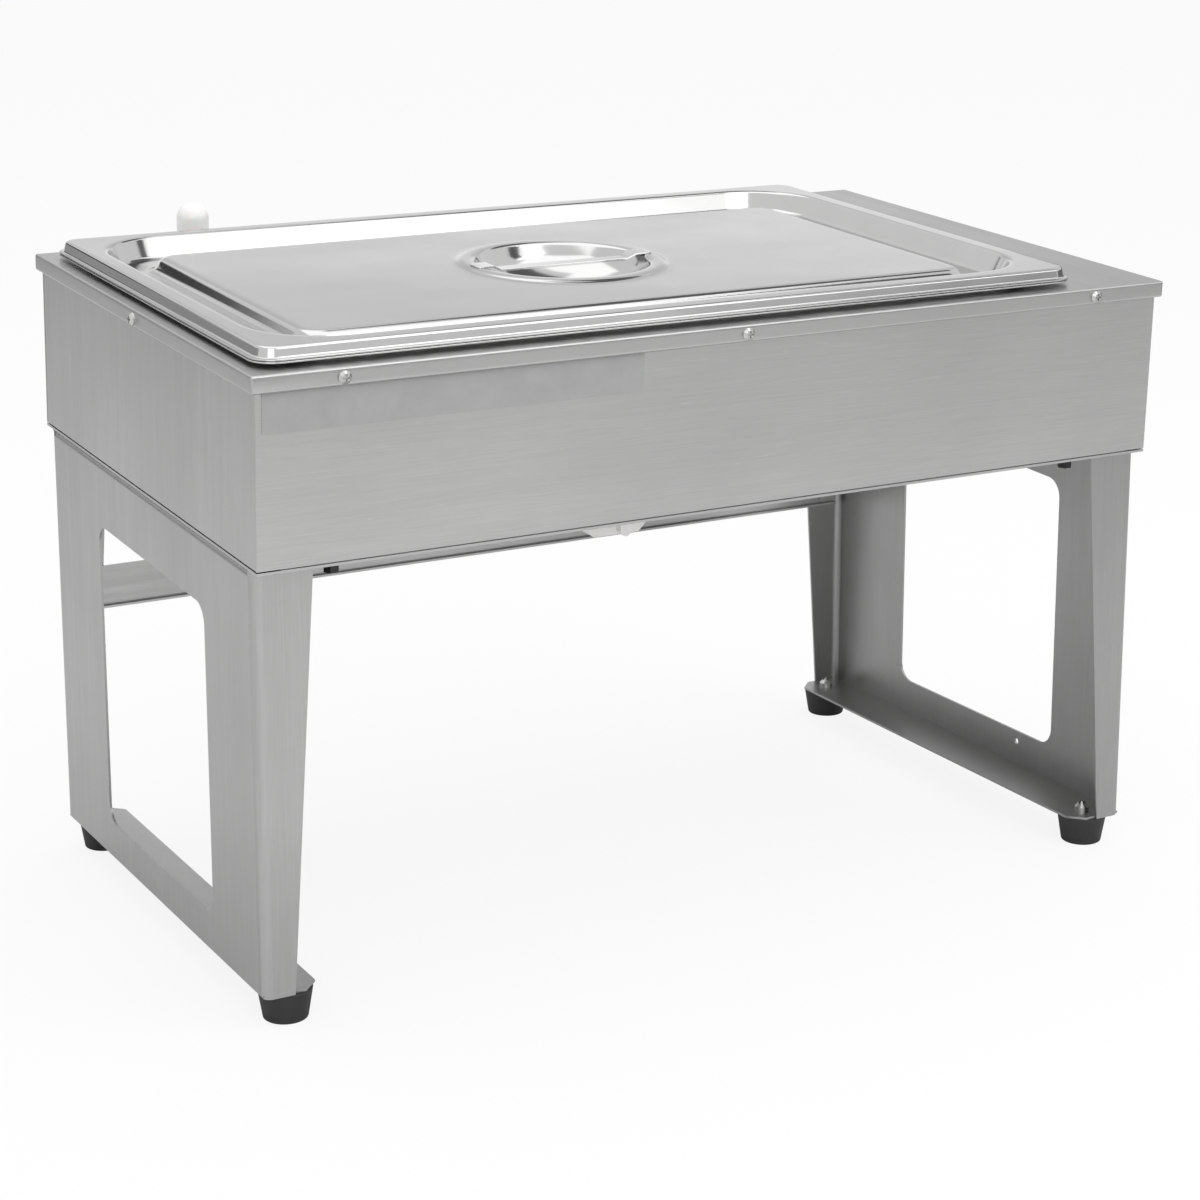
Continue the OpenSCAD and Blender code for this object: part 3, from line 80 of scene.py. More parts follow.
CORNER_STEPS = 14  # faces round a quarter turn
DISH_STEPS = 60  # faces round the lid's dish
SNAP = 1e-6  # metres within which a swept sheet's vertices are merged
WELD = 1e-5  # metres within which a CAD node's vertices are merged
FLAT = math.radians(0.4)  # CAD faces that meet at less than this become one
NEAR = 0.05  # millimetres within which a CAD edge lies on a line


# ---------------------------------------------------------------- shader groups

def group(name, inputs, outputs):
    """An empty shader node group with its sockets, and its input and output nodes."""
    tree = bpy.data.node_groups.new(name, "ShaderNodeTree")
    for label, kind, value in inputs:
        socket = tree.interface.new_socket(label, in_out="INPUT", socket_type=kind)
        if value is not None:
            socket.default_value = value
    for label, kind in outputs:
        tree.interface.new_socket(label, in_out="OUTPUT", socket_type=kind)
    return tree, tree.nodes.new("NodeGroupInput"), tree.nodes.new("NodeGroupOutput")


def node(tree, kind, **settings):
    """A node with its settings, and its input sockets set from values or joined from sockets."""
    made = tree.nodes.new(kind)
    sockets = settings.pop("sockets", {})
    for key, value in settings.items():
        setattr(made, key, value)
    for key, value in sockets.items():
        if isinstance(value, bpy.types.NodeSocket):
            tree.links.new(value, made.inputs[key])
        else:
            made.inputs[key].default_value = value
    return made


def noise(tree, vector, scale, detail, rough):
    """A noise texture's value at a vector."""
    return node(tree, "ShaderNodeTexNoise", sockets={
        "Vector": vector, "Scale": scale, "Detail": detail, "Roughness": rough}).outputs["Fac"]


def spread(tree, value, low, high, to_low=0.0, to_high=1.0):
    """A value brought from one range to another, and held inside it."""
    return node(tree, "ShaderNodeMapRange", sockets={
        "Value": value, "From Min": low, "From Max": high,
        "To Min": to_low, "To Max": to_high}).outputs["Result"]


def math_node(tree, operation, a, b):
    """Two values joined by a sum, a product or another operation."""
    return node(tree, "ShaderNodeMath", operation=operation, sockets={0: a, 1: b}).outputs[0]


def make_grain():
    """Brush lines along a surface: fine lines, broad bands, and a few long scratches."""
    tree, start, end = group(
        "brush_grain",
        [("Vector", "NodeSocketVector", None), ("Along", "NodeSocketVector", (6.0, 900.0, 900.0))],
        [("Lines", "NodeSocketFloat"), ("Bands", "NodeSocketFloat"),
         ("Scratches", "NodeSocketFloat")])
    drawn = node(tree, "ShaderNodeVectorMath", operation="MULTIPLY",
                 sockets={0: start.outputs["Vector"], 1: start.outputs["Along"]}).outputs[0]
    lines = noise(tree, drawn, 1.0, 4.0, 0.7)
    broad = node(tree, "ShaderNodeVectorMath", operation="SCALE",
                 sockets={0: drawn, "Scale": 0.11}).outputs[0]
    bands = noise(tree, broad, 1.0, 3.0, 0.6)
    sparse = node(tree, "ShaderNodeVectorMath", operation="MULTIPLY_ADD",
                  sockets={0: drawn, 1: (2.4, 0.55, 0.55), 2: (7.1, 3.3, 1.9)}).outputs[0]
    scratches = spread(tree, noise(tree, sparse, 1.0, 1.0, 0.4), 0.73, 0.78)
    tree.links.new(spread(tree, lines, 0.25, 0.75), end.inputs["Lines"])
    tree.links.new(spread(tree, bands, 0.3, 0.7), end.inputs["Bands"])
    tree.links.new(scratches, end.inputs["Scratches"])
    return tree


def make_smudges():
    """Faint clouds, as wiped-off finger marks leave, and small specks."""
    tree, start, end = group(
        "smudges",
        [("Vector", "NodeSocketVector", None), ("Size", "NodeSocketFloat", 9.0)],
        [("Clouds", "NodeSocketFloat"), ("Specks", "NodeSocketFloat")])
    clouds = noise(tree, start.outputs["Vector"], start.outputs["Size"], 4.0, 0.6)
    grain_size = math_node(tree, "MULTIPLY", start.outputs["Size"], 55.0)
    specks = noise(tree, start.outputs["Vector"], grain_size, 2.0, 0.5)
    tree.links.new(spread(tree, clouds, 0.35, 0.7), end.inputs["Clouds"])
    tree.links.new(spread(tree, specks, 0.68, 0.76), end.inputs["Specks"])
    return tree


def make_pebble():
    """The fine pebbled skin of moulded plastic and rubber."""
    tree, start, end = group(
        "pebble",
        [("Vector", "NodeSocketVector", None), ("Size", "NodeSocketFloat", 900.0)],
        [("Height", "NodeSocketFloat"), ("Patches", "NodeSocketFloat")])
    fine = noise(tree, start.outputs["Vector"], start.outputs["Size"], 2.0, 0.5)
    wide = math_node(tree, "MULTIPLY", start.outputs["Size"], 0.04)
    patches = noise(tree, start.outputs["Vector"], wide, 3.0, 0.6)
    tree.links.new(fine, end.inputs["Height"])
    tree.links.new(spread(tree, patches, 0.3, 0.7), end.inputs["Patches"])
    return tree


GRAIN = make_grain()
SMUDGES = make_smudges()
PEBBLE = make_pebble()


# ---------------------------------------------------------------- materials

def blank(name):
    """A material with a Principled shader, its tree, and the piece's own coordinates."""
    material = bpy.data.materials.new(name)
    material.use_nodes = True
    tree = material.node_tree
    shader = tree.nodes["Principled BSDF"]
    place = node(tree, "ShaderNodeTexCoord").outputs["Object"]
    return material, tree, shader, place


def smudges(tree, place, size):
    """The wiped-off marks on a surface."""
    return node(tree, "ShaderNodeGroup", node_tree=SMUDGES, sockets={"Vector": place, "Size": size})


def tone(tree, value, first, second):
    """A colour between two, by a value. The first may come from a socket."""
    if not isinstance(first, bpy.types.NodeSocket):
        first = (*first, 1.0)
    return node(tree, "ShaderNodeMix", data_type="RGBA", sockets={
        "Factor": value, "A": first, "B": (*second, 1.0)}).outputs["Result"]


def touch(tree, colour, mask, share, second):
    """A colour that goes a share of the way to a second one where a mask is full."""
    return tone(tree, math_node(tree, "MULTIPLY", mask, share), colour, second)


def relief(tree, shader, height, strength, distance):
    """A fine relief on a surface."""
    bump = node(tree, "ShaderNodeBump", sockets={
        "Strength": strength, "Distance": distance, "Height": height})
    tree.links.new(bump.outputs[0], shader.inputs["Normal"])


def brushed_steel(name, along, dark, light, rough, turn=0.0):
    """Sheet steel brushed along one direction."""
    material, tree, shader, place = blank(name)
    turned = node(tree, "ShaderNodeMapping",
                  sockets={"Vector": place, "Rotation": (turn, 0.0, 0.0)}).outputs[0]
    grain = node(tree, "ShaderNodeGroup", node_tree=GRAIN,
                 sockets={"Vector": turned, "Along": along})
    marks = smudges(tree, place, 7.0)
    weave = math_node(tree, "ADD", math_node(tree, "MULTIPLY", grain.outputs["Lines"], 0.86),
                      math_node(tree, "MULTIPLY", grain.outputs["Bands"], 0.14))
    colour = tone(tree, weave, dark, light)
    dulled = touch(tree, colour, marks.outputs["Clouds"], 0.16, [0.86 * c for c in dark])
    scored = touch(tree, dulled, grain.outputs["Scratches"], 0.22, [1.25 * c for c in light])
    tree.links.new(scored, shader.inputs["Base Color"])
    gloss = math_node(
        tree, "ADD", spread(tree, grain.outputs["Bands"], 0.0, 1.0, rough - 0.05, rough + 0.05),
        math_node(tree, "MULTIPLY", marks.outputs["Clouds"], 0.05))
    tree.links.new(gloss, shader.inputs["Roughness"])
    relief(tree, shader, grain.outputs["Lines"], 0.06, 0.0004)
    shader.inputs["Metallic"].default_value = 1.0
    return material


def polished_steel(name, dark, light, rough, waviness=0.03):
    """Pressed steel polished bright, with slow waves in the sheet and wiped-off marks."""
    material, tree, shader, place = blank(name)
    marks = smudges(tree, place, 8.0)
    colour = tone(tree, marks.outputs["Clouds"], light, dark)
    dotted = touch(tree, colour, marks.outputs["Specks"], 0.12, [0.7 * c for c in dark])
    tree.links.new(dotted, shader.inputs["Base Color"])
    fine = node(tree, "ShaderNodeGroup", node_tree=GRAIN,
                sockets={"Vector": place, "Along": (25.0, 500.0, 500.0)})
    gloss = math_node(
        tree, "ADD", spread(tree, marks.outputs["Clouds"], 0.0, 1.0, rough, rough + 0.05),
        math_node(tree, "MULTIPLY", fine.outputs["Lines"], 0.03))
    tree.links.new(gloss, shader.inputs["Roughness"])
    relief(tree, shader, noise(tree, place, 11.0, 1.0, 0.4), waviness, 0.02)
    shader.inputs["Metallic"].default_value = 1.0
    return material


def moulded(name, dark, light, rough, pebble_size, pebble_bump, coat=0.0, scatter=0.0):
    """Moulded plastic or rubber with a fine pebbled skin."""
    material, tree, shader, place = blank(name)
    skin = node(tree, "ShaderNodeGroup", node_tree=PEBBLE,
                sockets={"Vector": place, "Size": pebble_size})
    marks = smudges(tree, place, 22.0)
    colour = tone(tree, skin.outputs["Patches"], dark, light)
    dusted = touch(tree, colour, marks.outputs["Specks"], 0.15, [0.6 * c + 0.12 for c in light])
    tree.links.new(dusted, shader.inputs["Base Color"])
    tree.links.new(spread(tree, skin.outputs["Patches"], 0.0, 1.0, rough - 0.04, rough + 0.06),
                   shader.inputs["Roughness"])
    relief(tree, shader, skin.outputs["Height"], pebble_bump, 0.0004)
    shader.inputs["Coat Weight"].default_value = coat
    if scatter:
        shader.inputs["Subsurface Weight"].default_value = scatter
        shader.inputs["Subsurface Scale"].default_value = 0.002
    return material


def plated(name, dark, light, rough):
    """Small turned or plated metal pieces."""
    material, tree, shader, place = blank(name)
    marks = smudges(tree, place, 60.0)
    tree.links.new(tone(tree, marks.outputs["Clouds"], dark, light), shader.inputs["Base Color"])
    tree.links.new(spread(tree, marks.outputs["Clouds"], 0.0, 1.0, rough, rough + 0.14),
                   shader.inputs["Roughness"])
    relief(tree, shader, marks.outputs["Specks"], 0.05, 0.0003)
    shader.inputs["Metallic"].default_value = 1.0
    return material


def fibre_board(name, dark, light):
    """Pressed mineral fibre: matt and flecked."""
    material, tree, shader, place = blank(name)
    grain = node(tree, "ShaderNodeGroup", node_tree=GRAIN,
                 sockets={"Vector": place, "Along": (120.0, 120.0, 900.0)})
    tree.links.new(tone(tree, grain.outputs["Lines"], dark, light), shader.inputs["Base Color"])
    tree.links.new(spread(tree, grain.outputs["Bands"], 0.0, 1.0, 0.85, 0.98),
                   shader.inputs["Roughness"])
    relief(tree, shader, grain.outputs["Lines"], 0.5, 0.001)
    return material


ALONG_X = (24.0, 1300.0, 1300.0)
ALONG_Y = (1300.0, 24.0, 1300.0)
ALONG_Z = (1300.0, 1300.0, 24.0)
STEEL_DARK, STEEL_LIGHT = (0.41, 0.412, 0.406), (0.49, 0.492, 0.485)
steel_across = brushed_steel("steel_brushed_across", ALONG_X, STEEL_DARK, STEEL_LIGHT, 0.33)
steel_back = brushed_steel("steel_brushed_to_rear", ALONG_Y, STEEL_DARK, STEEL_LIGHT, 0.33, -TILT)
steel_up = brushed_steel("steel_brushed_upright", ALONG_Z, STEEL_DARK, STEEL_LIGHT, 0.33, -TILT)
steel_leg = brushed_steel("steel_legs", ALONG_Z, (0.39, 0.392, 0.387), (0.465, 0.467, 0.46), 0.35)
# The right leg's steel is the legs' steel painted darker: painted shade for the tank's shadow and
# the darker surroundings it reflects
steel_leg_right_painted_shade = brushed_steel("steel_leg_right_painted_shade", ALONG_Z, (0.335, 0.337, 0.332),
                                (0.40, 0.402, 0.396), 0.35)
steel_brace = brushed_steel("steel_brace", ALONG_X, (0.47, 0.472, 0.466),
                            (0.55, 0.552, 0.545), 0.34)
steel_tub = brushed_steel("steel_tub", ALONG_X, (0.40, 0.40, 0.395), (0.52, 0.52, 0.51), 0.3)
bright_lid = polished_steel("steel_polished_lid", (0.49, 0.492, 0.486), (0.54, 0.542, 0.535), 0.1)
bright_pan = polished_steel("steel_polished_pan", (0.58, 0.582, 0.575), (0.68, 0.682, 0.675), 0.13)
bright_strap = polished_steel("steel_polished_strap", (0.68, 0.682, 0.675), (0.78, 0.782, 0.775),
                              0.09, 0.01)
white_plastic = moulded("plastic_white", (0.78, 0.78, 0.765), (0.86, 0.86, 0.85), 0.32, 700.0, 0.03,
                        coat=0.2, scatter=0.15)
black_rubber = moulded("rubber_black", (0.012, 0.012, 0.013), (0.026, 0.026, 0.027), 0.6,
                       1100.0, 0.2)
black_plastic = moulded("plastic_black", (0.014, 0.014, 0.015), (0.028, 0.028, 0.03), 0.42,
                        1300.0, 0.12)
red_plastic = moulded("plastic_red", (0.42, 0.025, 0.02), (0.55, 0.045, 0.035), 0.28, 800.0, 0.04,
                      coat=0.3)
amber_lens = moulded("lens_amber", (0.7, 0.2, 0.02), (0.85, 0.32, 0.05), 0.16, 500.0, 0.02,
                     coat=0.6, scatter=0.2)
heater_rubber = moulded("rubber_heater", (0.45, 0.12, 0.05), (0.55, 0.18, 0.08), 0.62, 500.0, 0.35)
cream_plastic = moulded("plastic_cream", (0.72, 0.68, 0.56), (0.8, 0.77, 0.66), 0.45, 900.0, 0.06)
wire_cover = moulded("wire_cover", (0.42, 0.03, 0.025), (0.52, 0.05, 0.04), 0.4, 600.0, 0.05)
label_grey = moulded("label_grey", (0.29, 0.291, 0.294), (0.325, 0.326, 0.329), 0.45, 1500.0, 0.05)
zinc = plated("zinc_plate", (0.46, 0.46, 0.45), (0.6, 0.6, 0.585), 0.26)
black_bolt = plated("bolt_black", (0.03, 0.03, 0.032), (0.06, 0.06, 0.062), 0.34)
copper = plated("copper_bare", (0.55, 0.26, 0.14), (0.7, 0.36, 0.22), 0.28)
insulation = fibre_board("fibre_board", (0.5, 0.45, 0.32), (0.66, 0.61, 0.46))

FINISHES = {
    "polished_steel": bright_pan, "white_plastic": white_plastic, "black_rubber": black_rubber,
    "black_bolt": black_bolt, "zinc": zinc, "black_plastic": black_plastic,
    "red_plastic": red_plastic, "amber_lens": amber_lens, "heater_rubber": heater_rubber,
    "insulation": insulation, "copper": copper, "cream_plastic": cream_plastic,
    "wire_cover": wire_cover,
}
# The stainless nodes that aren't here are the tub's
STEEL_BY_NODE = {
    "front_panel": steel_across, "rear_panel": steel_across, "left_panel": steel_up,
    "right_panel": steel_up, "top_plate": steel_back, "bottom_plate": steel_across,
    "rear_brace": steel_brace, "left_leg_frame": steel_leg, "right_leg_frame": steel_leg_right_painted_shade,
    "bay_divider": steel_up, "dial_plate": steel_up,
}


# ---------------------------------------------------------------- building with bmesh

def shown_mesh(name, bm, material):
    """A finished bmesh as an object in the scene with one material."""
    mesh = bpy.data.meshes.new(name)
    bm.to_mesh(mesh)
    bm.free()
    mesh.materials.append(material)
    made = bpy.data.objects.new(name, mesh)
    bpy.context.scene.collection.objects.link(made)
    return made


def round_edges(shown, width, least_angle):
    """Rounds an object's edges that are sharper than an angle in degrees."""
    edges = shown.modifiers.new("edges", "BEVEL")
    edges.width = width * MM
    edges.segments = 3
    edges.limit_method = "ANGLE"
    edges.angle_limit = math.radians(least_angle)


def even_faces(shown):
    """Keeps flat faces flat beside rounded edges."""
    even = shown.modifiers.new("flat_faces", "WEIGHTED_NORMAL")
    even.mode = "FACE_AREA_WITH_ANGLE"
    even.weight = 100
    even.keep_sharp = False


def piece(name, bm, body, material, place, replaced=(), wall=0.0, smooth=True, edge=0.0):
    """A finished bmesh as an object that rides a body, with its place in its mesh."""
    bmesh.ops.transform(bm, matrix=place, verts=bm.verts)
    made = shown_mesh(name, bm, material)
    for face in made.data.polygons:
        face.use_smooth = smooth
    if wall:
        shell = made.modifiers.new("sheet", "SOLIDIFY")
        shell.thickness = wall * MM
        shell.offset = -1.0
        shell.use_even_offset = True
    if edge:
        round_edges(made, edge, 60)
    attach(made, body)
    if replaced:
        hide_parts(*replaced)
    return made


def bevel(bm, geom, width, affect, segments=5, clamp=False):
    """Rounds edges or corners by a width in millimetres."""
    bmesh.ops.bevel(bm, geom=geom, offset=width * MM, offset_type="OFFSET", segments=segments,
                    profile=0.5, affect=affect, material=-1, clamp_overlap=clamp)


def profile(bm, points, rows):
    """A line of edges through (radius, height, rounding) points in millimetres, with each corner
    rounded by its bevel. rows marks the points that later loops are found by."""
    mark = bm.verts.layers.int.get("row") or bm.verts.layers.int.new("row")
    verts = [bm.verts.new((x * MM, 0, z * MM)) for x, z, _ in points]
    edges = [bm.edges.new(pair) for pair in zip(verts, verts[1:])]
    for index, row in rows.items():
        verts[index][mark] = row
    before = set(bm.verts) - set(verts)
    held = set(bm.edges) - set(edges)
    for vert, (_, _, rounding) in zip(verts, points):
        if rounding:
            bevel(bm, [vert], rounding, "VERTICES")
    return [v for v in bm.verts if v not in before] + [e for e in bm.edges if e not in held]


def only(kind, geom):
    """The vertices, edges or faces in a list of geometry."""
    return [g for g in geom if isinstance(g, kind)]


def sweep(bm, line, half_x, half_y):
    """Carries a line round a rectangle of corner centres: a quarter spin at each corner, then a
    straight run."""
    half_x, half_y = half_x * MM, half_y * MM
    bmesh.ops.translate(bm, verts=only(bmesh.types.BMVert, line), vec=(half_x, half_y, 0))
    centres = [(half_x, half_y, 0), (-half_x, half_y, 0), (-half_x, -half_y, 0),
               (half_x, -half_y, 0)]
    for start, stop in zip(centres, centres[1:] + centres[:1]):
        line = bmesh.ops.spin(bm, geom=line, cent=start, axis=(0, 0, 1), angle=math.pi / 2,
                              steps=CORNER_STEPS, use_duplicate=False)["geom_last"]
        drawn = bmesh.ops.extrude_edge_only(bm, edges=only(bmesh.types.BMEdge, line))["geom"]
        ahead = only(bmesh.types.BMVert, drawn)
        bmesh.ops.translate(bm, verts=ahead, vec=Vector(stop) - Vector(start))
        line = ahead + [e for e in only(bmesh.types.BMEdge, drawn) if set(e.verts) <= set(ahead)]
    bmesh.ops.remove_doubles(bm, verts=bm.verts, dist=SNAP)


def loop_of(bm, row):
    """The open edge loop that a marked point drew."""
    mark = bm.verts.layers.int["row"]
    return [e for e in bm.edges if e.is_boundary and all(v[mark] == row for v in e.verts)]


def bridge(bm, row_a, row_b):
    """A flat strip between two marked loops."""
    bmesh.ops.bridge_loops(bm, edges=loop_of(bm, row_a) + loop_of(bm, row_b))


def face_up(bm):
    """Turns an open sheet's faces so that most of it looks up."""
    bmesh.ops.remove_doubles(bm, verts=bm.verts, dist=SNAP)
    bmesh.ops.recalc_face_normals(bm, faces=bm.faces)
    if sum(f.normal.z * f.calc_area() for f in bm.faces) < 0:
        bmesh.ops.reverse_faces(bm, faces=bm.faces)


# Marks of the pressed sheets' open loops, where 0 is no mark
RIM_INNER, WELL_OUTER, WELL_INNER, DISH_OUTER, DISH_INNER = range(1, 6)


def lid_shell():
    """The pressed lid: flared skirt, flat rim, moat, raised panel, and the beaded dish under the
    strap."""
    bm = bmesh.new()
    rim = profile(bm, [(14, -5.9, 0), (11.2, -5.9, 0.9), (10, 0, 1.4), (6.4, 0, 0), (5.6, 0, 0)],
                  {4: RIM_INNER})
    sweep(bm, rim, RIM_X, RIM_Y)
    well = profile(bm, [(49.5, 0, 0), (48.5, 0, 0), (45, 0, 1.6), (39, -13, 2.5), (18, -13, 3.6),
                        (13, -5, 3.2), (7.5, -5, 0), (6.5, -5, 0)], {0: WELL_OUTER, 7: WELL_INNER})
    sweep(bm, well, LID_WELL_X, LID_WELL_Y)
    dish = profile(bm, [(71, -5, 0), (70, -5, 0), (64.5, -5, 1.5), (61.5, -3.4, 1.6),
                        (53.8, -3.4, 2), (46.5, -14.5, 5.5), (33, -22.5, 7), (14, -27, 5),
                        (9, -27, 0), (8, -27, 0)],
                   {0: DISH_OUTER, 9: DISH_INNER})
    bmesh.ops.spin(bm, geom=dish, cent=(0, 0, 0), axis=(0, 0, 1), angle=math.tau, steps=DISH_STEPS,
                   use_merge=True, use_duplicate=False)
    bmesh.ops.remove_doubles(bm, verts=bm.verts, dist=SNAP)
    bridge(bm, RIM_INNER, WELL_OUTER)
    bridge(bm, WELL_INNER, DISH_OUTER)
    bmesh.ops.contextual_create(bm, geom=loop_of(bm, DISH_INNER))
    face_up(bm)
    piece("lid_shell", bm, "lid", bright_lid, LID_FRAME, ["lid"], SHEET,
          edge=0.35)


def pan_shell():
    """The pressed pan: flat rim, straight walls, and a floor with a wide bend."""
    bm = bmesh.new()
    rim = profile(bm, [(14, 1, 0), (13, 1, 0), (9, 1, 0), (8, 1, 0)], {3: RIM_INNER})
    sweep(bm, rim, RIM_X, RIM_Y)
    well = profile(bm, [(49, 1, 0), (48, 1, 0), (46, 1, 1.2), (42, -64, 15), (24, -64, 0),
                        (22, -64, 0)], {0: WELL_OUTER, 5: WELL_INNER})
    sweep(bm, well, PAN_WELL_X, PAN_WELL_Y)
    bridge(bm, RIM_INNER, WELL_OUTER)
    bmesh.ops.contextual_create(bm, geom=loop_of(bm, WELL_INNER))
    face_up(bm)
    piece("pan_shell", bm, "pan", bright_pan, PAN_FRAME, ["pan"], SHEET, edge=0.3)


def lid_strap():
    """The strap across the dish: a low bar that steps up to a flattened tab at each end."""
    bm = bmesh.new()
    bmesh.ops.create_cube(bm, size=1.0)
    bmesh.ops.scale(bm, verts=bm.verts, vec=(STRAP_L * MM, STRAP_W * MM, STRAP_T * MM))
    for x in (-STEP_OUT, -STEP_IN, STEP_IN, STEP_OUT):
        bmesh.ops.bisect_plane(bm, geom=bm.verts[:] + bm.edges[:] + bm.faces[:],
                               plane_co=(x * MM, 0, 0), plane_no=(1, 0, 0))
    tabs = [v for v in bm.verts if abs(v.co.x) > (STEP_IN + STEP_OUT) / 2 * MM]
    bmesh.ops.scale(bm, verts=tabs, vec=(1, 1.44, 0.62))
    bmesh.ops.translate(bm, verts=tabs, vec=(0, 0, STEP_UP * MM))
    tips = [e for e in bm.edges if all(abs(v.co.x) > (STRAP_L / 2 - 1) * MM for v in e.verts)
            and abs((e.verts[0].co - e.verts[1].co).normalized().z) > 0.6]
    bevel(bm, tips, 3, "EDGES")
    bmesh.ops.recalc_face_normals(bm, faces=bm.faces)
    sharp = [e for e in bm.edges if e.calc_face_angle() > math.radians(60)]
    bevel(bm, sharp, 0.3, "EDGES", segments=3, clamp=True)
    bmesh.ops.recalc_face_normals(bm, faces=bm.faces)
    place = LID_FRAME @ at(0, 0, STRAP_Z)
    made = piece("lid_strap", bm, "lid", bright_strap, place, ["lid_handle"])
    even_faces(made)


def label_strip():
    """The blank grey strip on the front panel."""
    bm = bmesh.new()
    bmesh.ops.create_grid(bm, x_segments=1, y_segments=1, size=0.5)
    bmesh.ops.scale(bm, verts=bm.verts, vec=(LABEL_W * MM, LABEL_H * MM, 1))
    bevel(bm, bm.verts[:], 0.8, "VERTICES", segments=4)
    thick = bmesh.ops.extrude_face_region(bm, geom=bm.faces[:])["geom"]
    bmesh.ops.translate(bm, verts=only(bmesh.types.BMVert, thick), vec=(0, 0, LABEL_T * MM))
    bmesh.ops.recalc_face_normals(bm, faces=bm.faces)
    place = TANK @ at(-TOP_W / 2 + LABEL_IN, -(TOP_D / 2 - SKIRT), TANK_H - LABEL_DOWN) @ \
        Matrix.Rotation(math.pi / 2, 4, "X")
    piece("label_strip", bm, "base", label_grey, place, smooth=False)


def stroke(bm, turn, near, far, width, rise):
    """A thin printed line that points out from a dial's middle."""
    line = bmesh.ops.create_cube(bm, size=1.0)["verts"]
    bmesh.ops.scale(bm, verts=line, vec=((far - near) * MM, width * MM, 0.2 * MM))
    bmesh.ops.translate(bm, verts=line, vec=((near + far) / 2 * MM, 0, rise * MM))
    bmesh.ops.rotate(bm, verts=line, cent=(0, 0, 0), matrix=Matrix.Rotation(turn, 3, "Z"))


def dial_marks():
    """Strokes on the dial plate for the heat, with a longer one for off, and the knob's white
    pointer."""
    off, step = math.radians(45), math.radians(30)
    bm = bmesh.new()
    stroke(bm, off, 21.5, 28, 1.4, DIAL_FACE)
    for count in range(1, 10):
        stroke(bm, off + step * count, 23, 27.5, 0.9, DIAL_FACE)
    piece("dial_strokes", bm, "base", black_plastic, DIAL_FRAME, smooth=False)
    bm = bmesh.new()
    stroke(bm, off, 4, 14.2, 1.6, KNOB_FACE)
    piece("knob_pointer", bm, "thermostat_knob", white_plastic, DIAL_FRAME,
          smooth=False)


def folded_copy(name, node_name, finish, is_fold, width):
    """A CAD sheet piece with chosen sharp edges folded round, as sheet is bent."""
    bm = bmesh.new()
    bm.from_mesh(frame["nodes"][node_name].data)
    bmesh.ops.remove_doubles(bm, verts=bm.verts, dist=WELD)
    bmesh.ops.dissolve_limit(bm, angle_limit=FLAT, verts=bm.verts, edges=bm.edges)
    to_tank = TANK.inverted()
    folds = [e for e in bm.edges if is_fold([to_tank @ v.co / MM for v in e.verts])]
    bevel(bm, folds, width, "EDGES")
    made = piece(name, bm, "base", finish, Matrix.Identity(4), [node_name], edge=0.3)
    even_faces(made)


def is_top_fold(ends):
    """Whether an edge is one of the top plate's outer folds, along its top or down a corner."""
    level = all(abs(e.z - TANK_H) < NEAR for e in ends)
    along_side = all(abs(abs(e.x) - TOP_W / 2) < NEAR for e in ends)
    along_front = all(abs(abs(e.y) - TOP_D / 2) < NEAR for e in ends)
    if level:
        return along_side or along_front
    return along_side and along_front


def is_leg_fold(ends):
    """Whether an edge is the fold along the top of a leg frame."""
    return all(abs(e.z) < NEAR and abs(abs(e.x) - (TOP_W / 2 - SKIRT)) < NEAR for e in ends)


# How far the edges of CAD nodes are rounded, in millimetres
SOFT_EDGES = {
    "front_panel": 0.9, "rear_panel": 0.9, "left_panel": 0.9, "right_panel": 0.9,
    "bottom_plate": 0.4, "rear_brace": 0.4,
    "foot_front_left": 0.9, "foot_front_right": 0.9, "foot_rear_left": 0.9, "foot_rear_right": 0.9,
    "drain_body": 1.2, "drain_plug": 0.6, "filler_cap": 0.5, "thermostat_knob": 0.5,
    "power_inlet": 0.4, "dial_plate": 0.3, "power_switch": 0.4, "power_rocker": 0.6,
}


def soften(shown, width):
    """Rounds a CAD node's sharp edges, so that they catch the light as bent or moulded ones do."""
    weld = shown.modifiers.new("weld", "WELD")
    weld.merge_threshold = WELD
    flatten = shown.modifiers.new("flats", "DECIMATE")
    flatten.decimate_type = "DISSOLVE"
    flatten.angle_limit = FLAT
    round_edges(shown, width, 40)
    even_faces(shown)


for name, shown in frame["nodes"].items():
    slot_name = next(s["material_slot"] for s in frame["record"]["subparts"] if s["node"] == name)
    finish = STEEL_BY_NODE.get(name, steel_tub) if slot_name == "stainless" else FINISHES[slot_name]
    shown.data.materials.clear()
    shown.data.materials.append(finish)
    if name in SOFT_EDGES:
        soften(shown, SOFT_EDGES[name])

lid_shell()
pan_shell()
lid_strap()
label_strip()
dial_marks()
folded_copy("top_cover", "top_plate", steel_back, is_top_fold, TOP_FOLD)
folded_copy("leg_left", "left_leg_frame", steel_leg, is_leg_fold, LEG_FOLD)
# The right leg takes the darker copy of the leg steel, which is painted shade
folded_copy("leg_right", "right_leg_frame", steel_leg_right_painted_shade, is_leg_fold, LEG_FOLD)


# ---------------------------------------------------------------- floor, light and camera

WHITE = (1.0, 1.0, 1.0, 1.0)


def bare(name):
    """A material with an empty tree and its output."""
    material = bpy.data.materials.new(name)
    material.use_nodes = True
    tree = material.node_tree
    tree.nodes.clear()
    return material, tree, node(tree, "ShaderNodeOutputMaterial").inputs["Surface"]


def facing(place, direction, axis):
    """A place, with one of the object's axes turned to a direction."""
    return Matrix.Translation(place) @ direction.to_track_quat(axis, "Y").to_matrix().to_4x4()


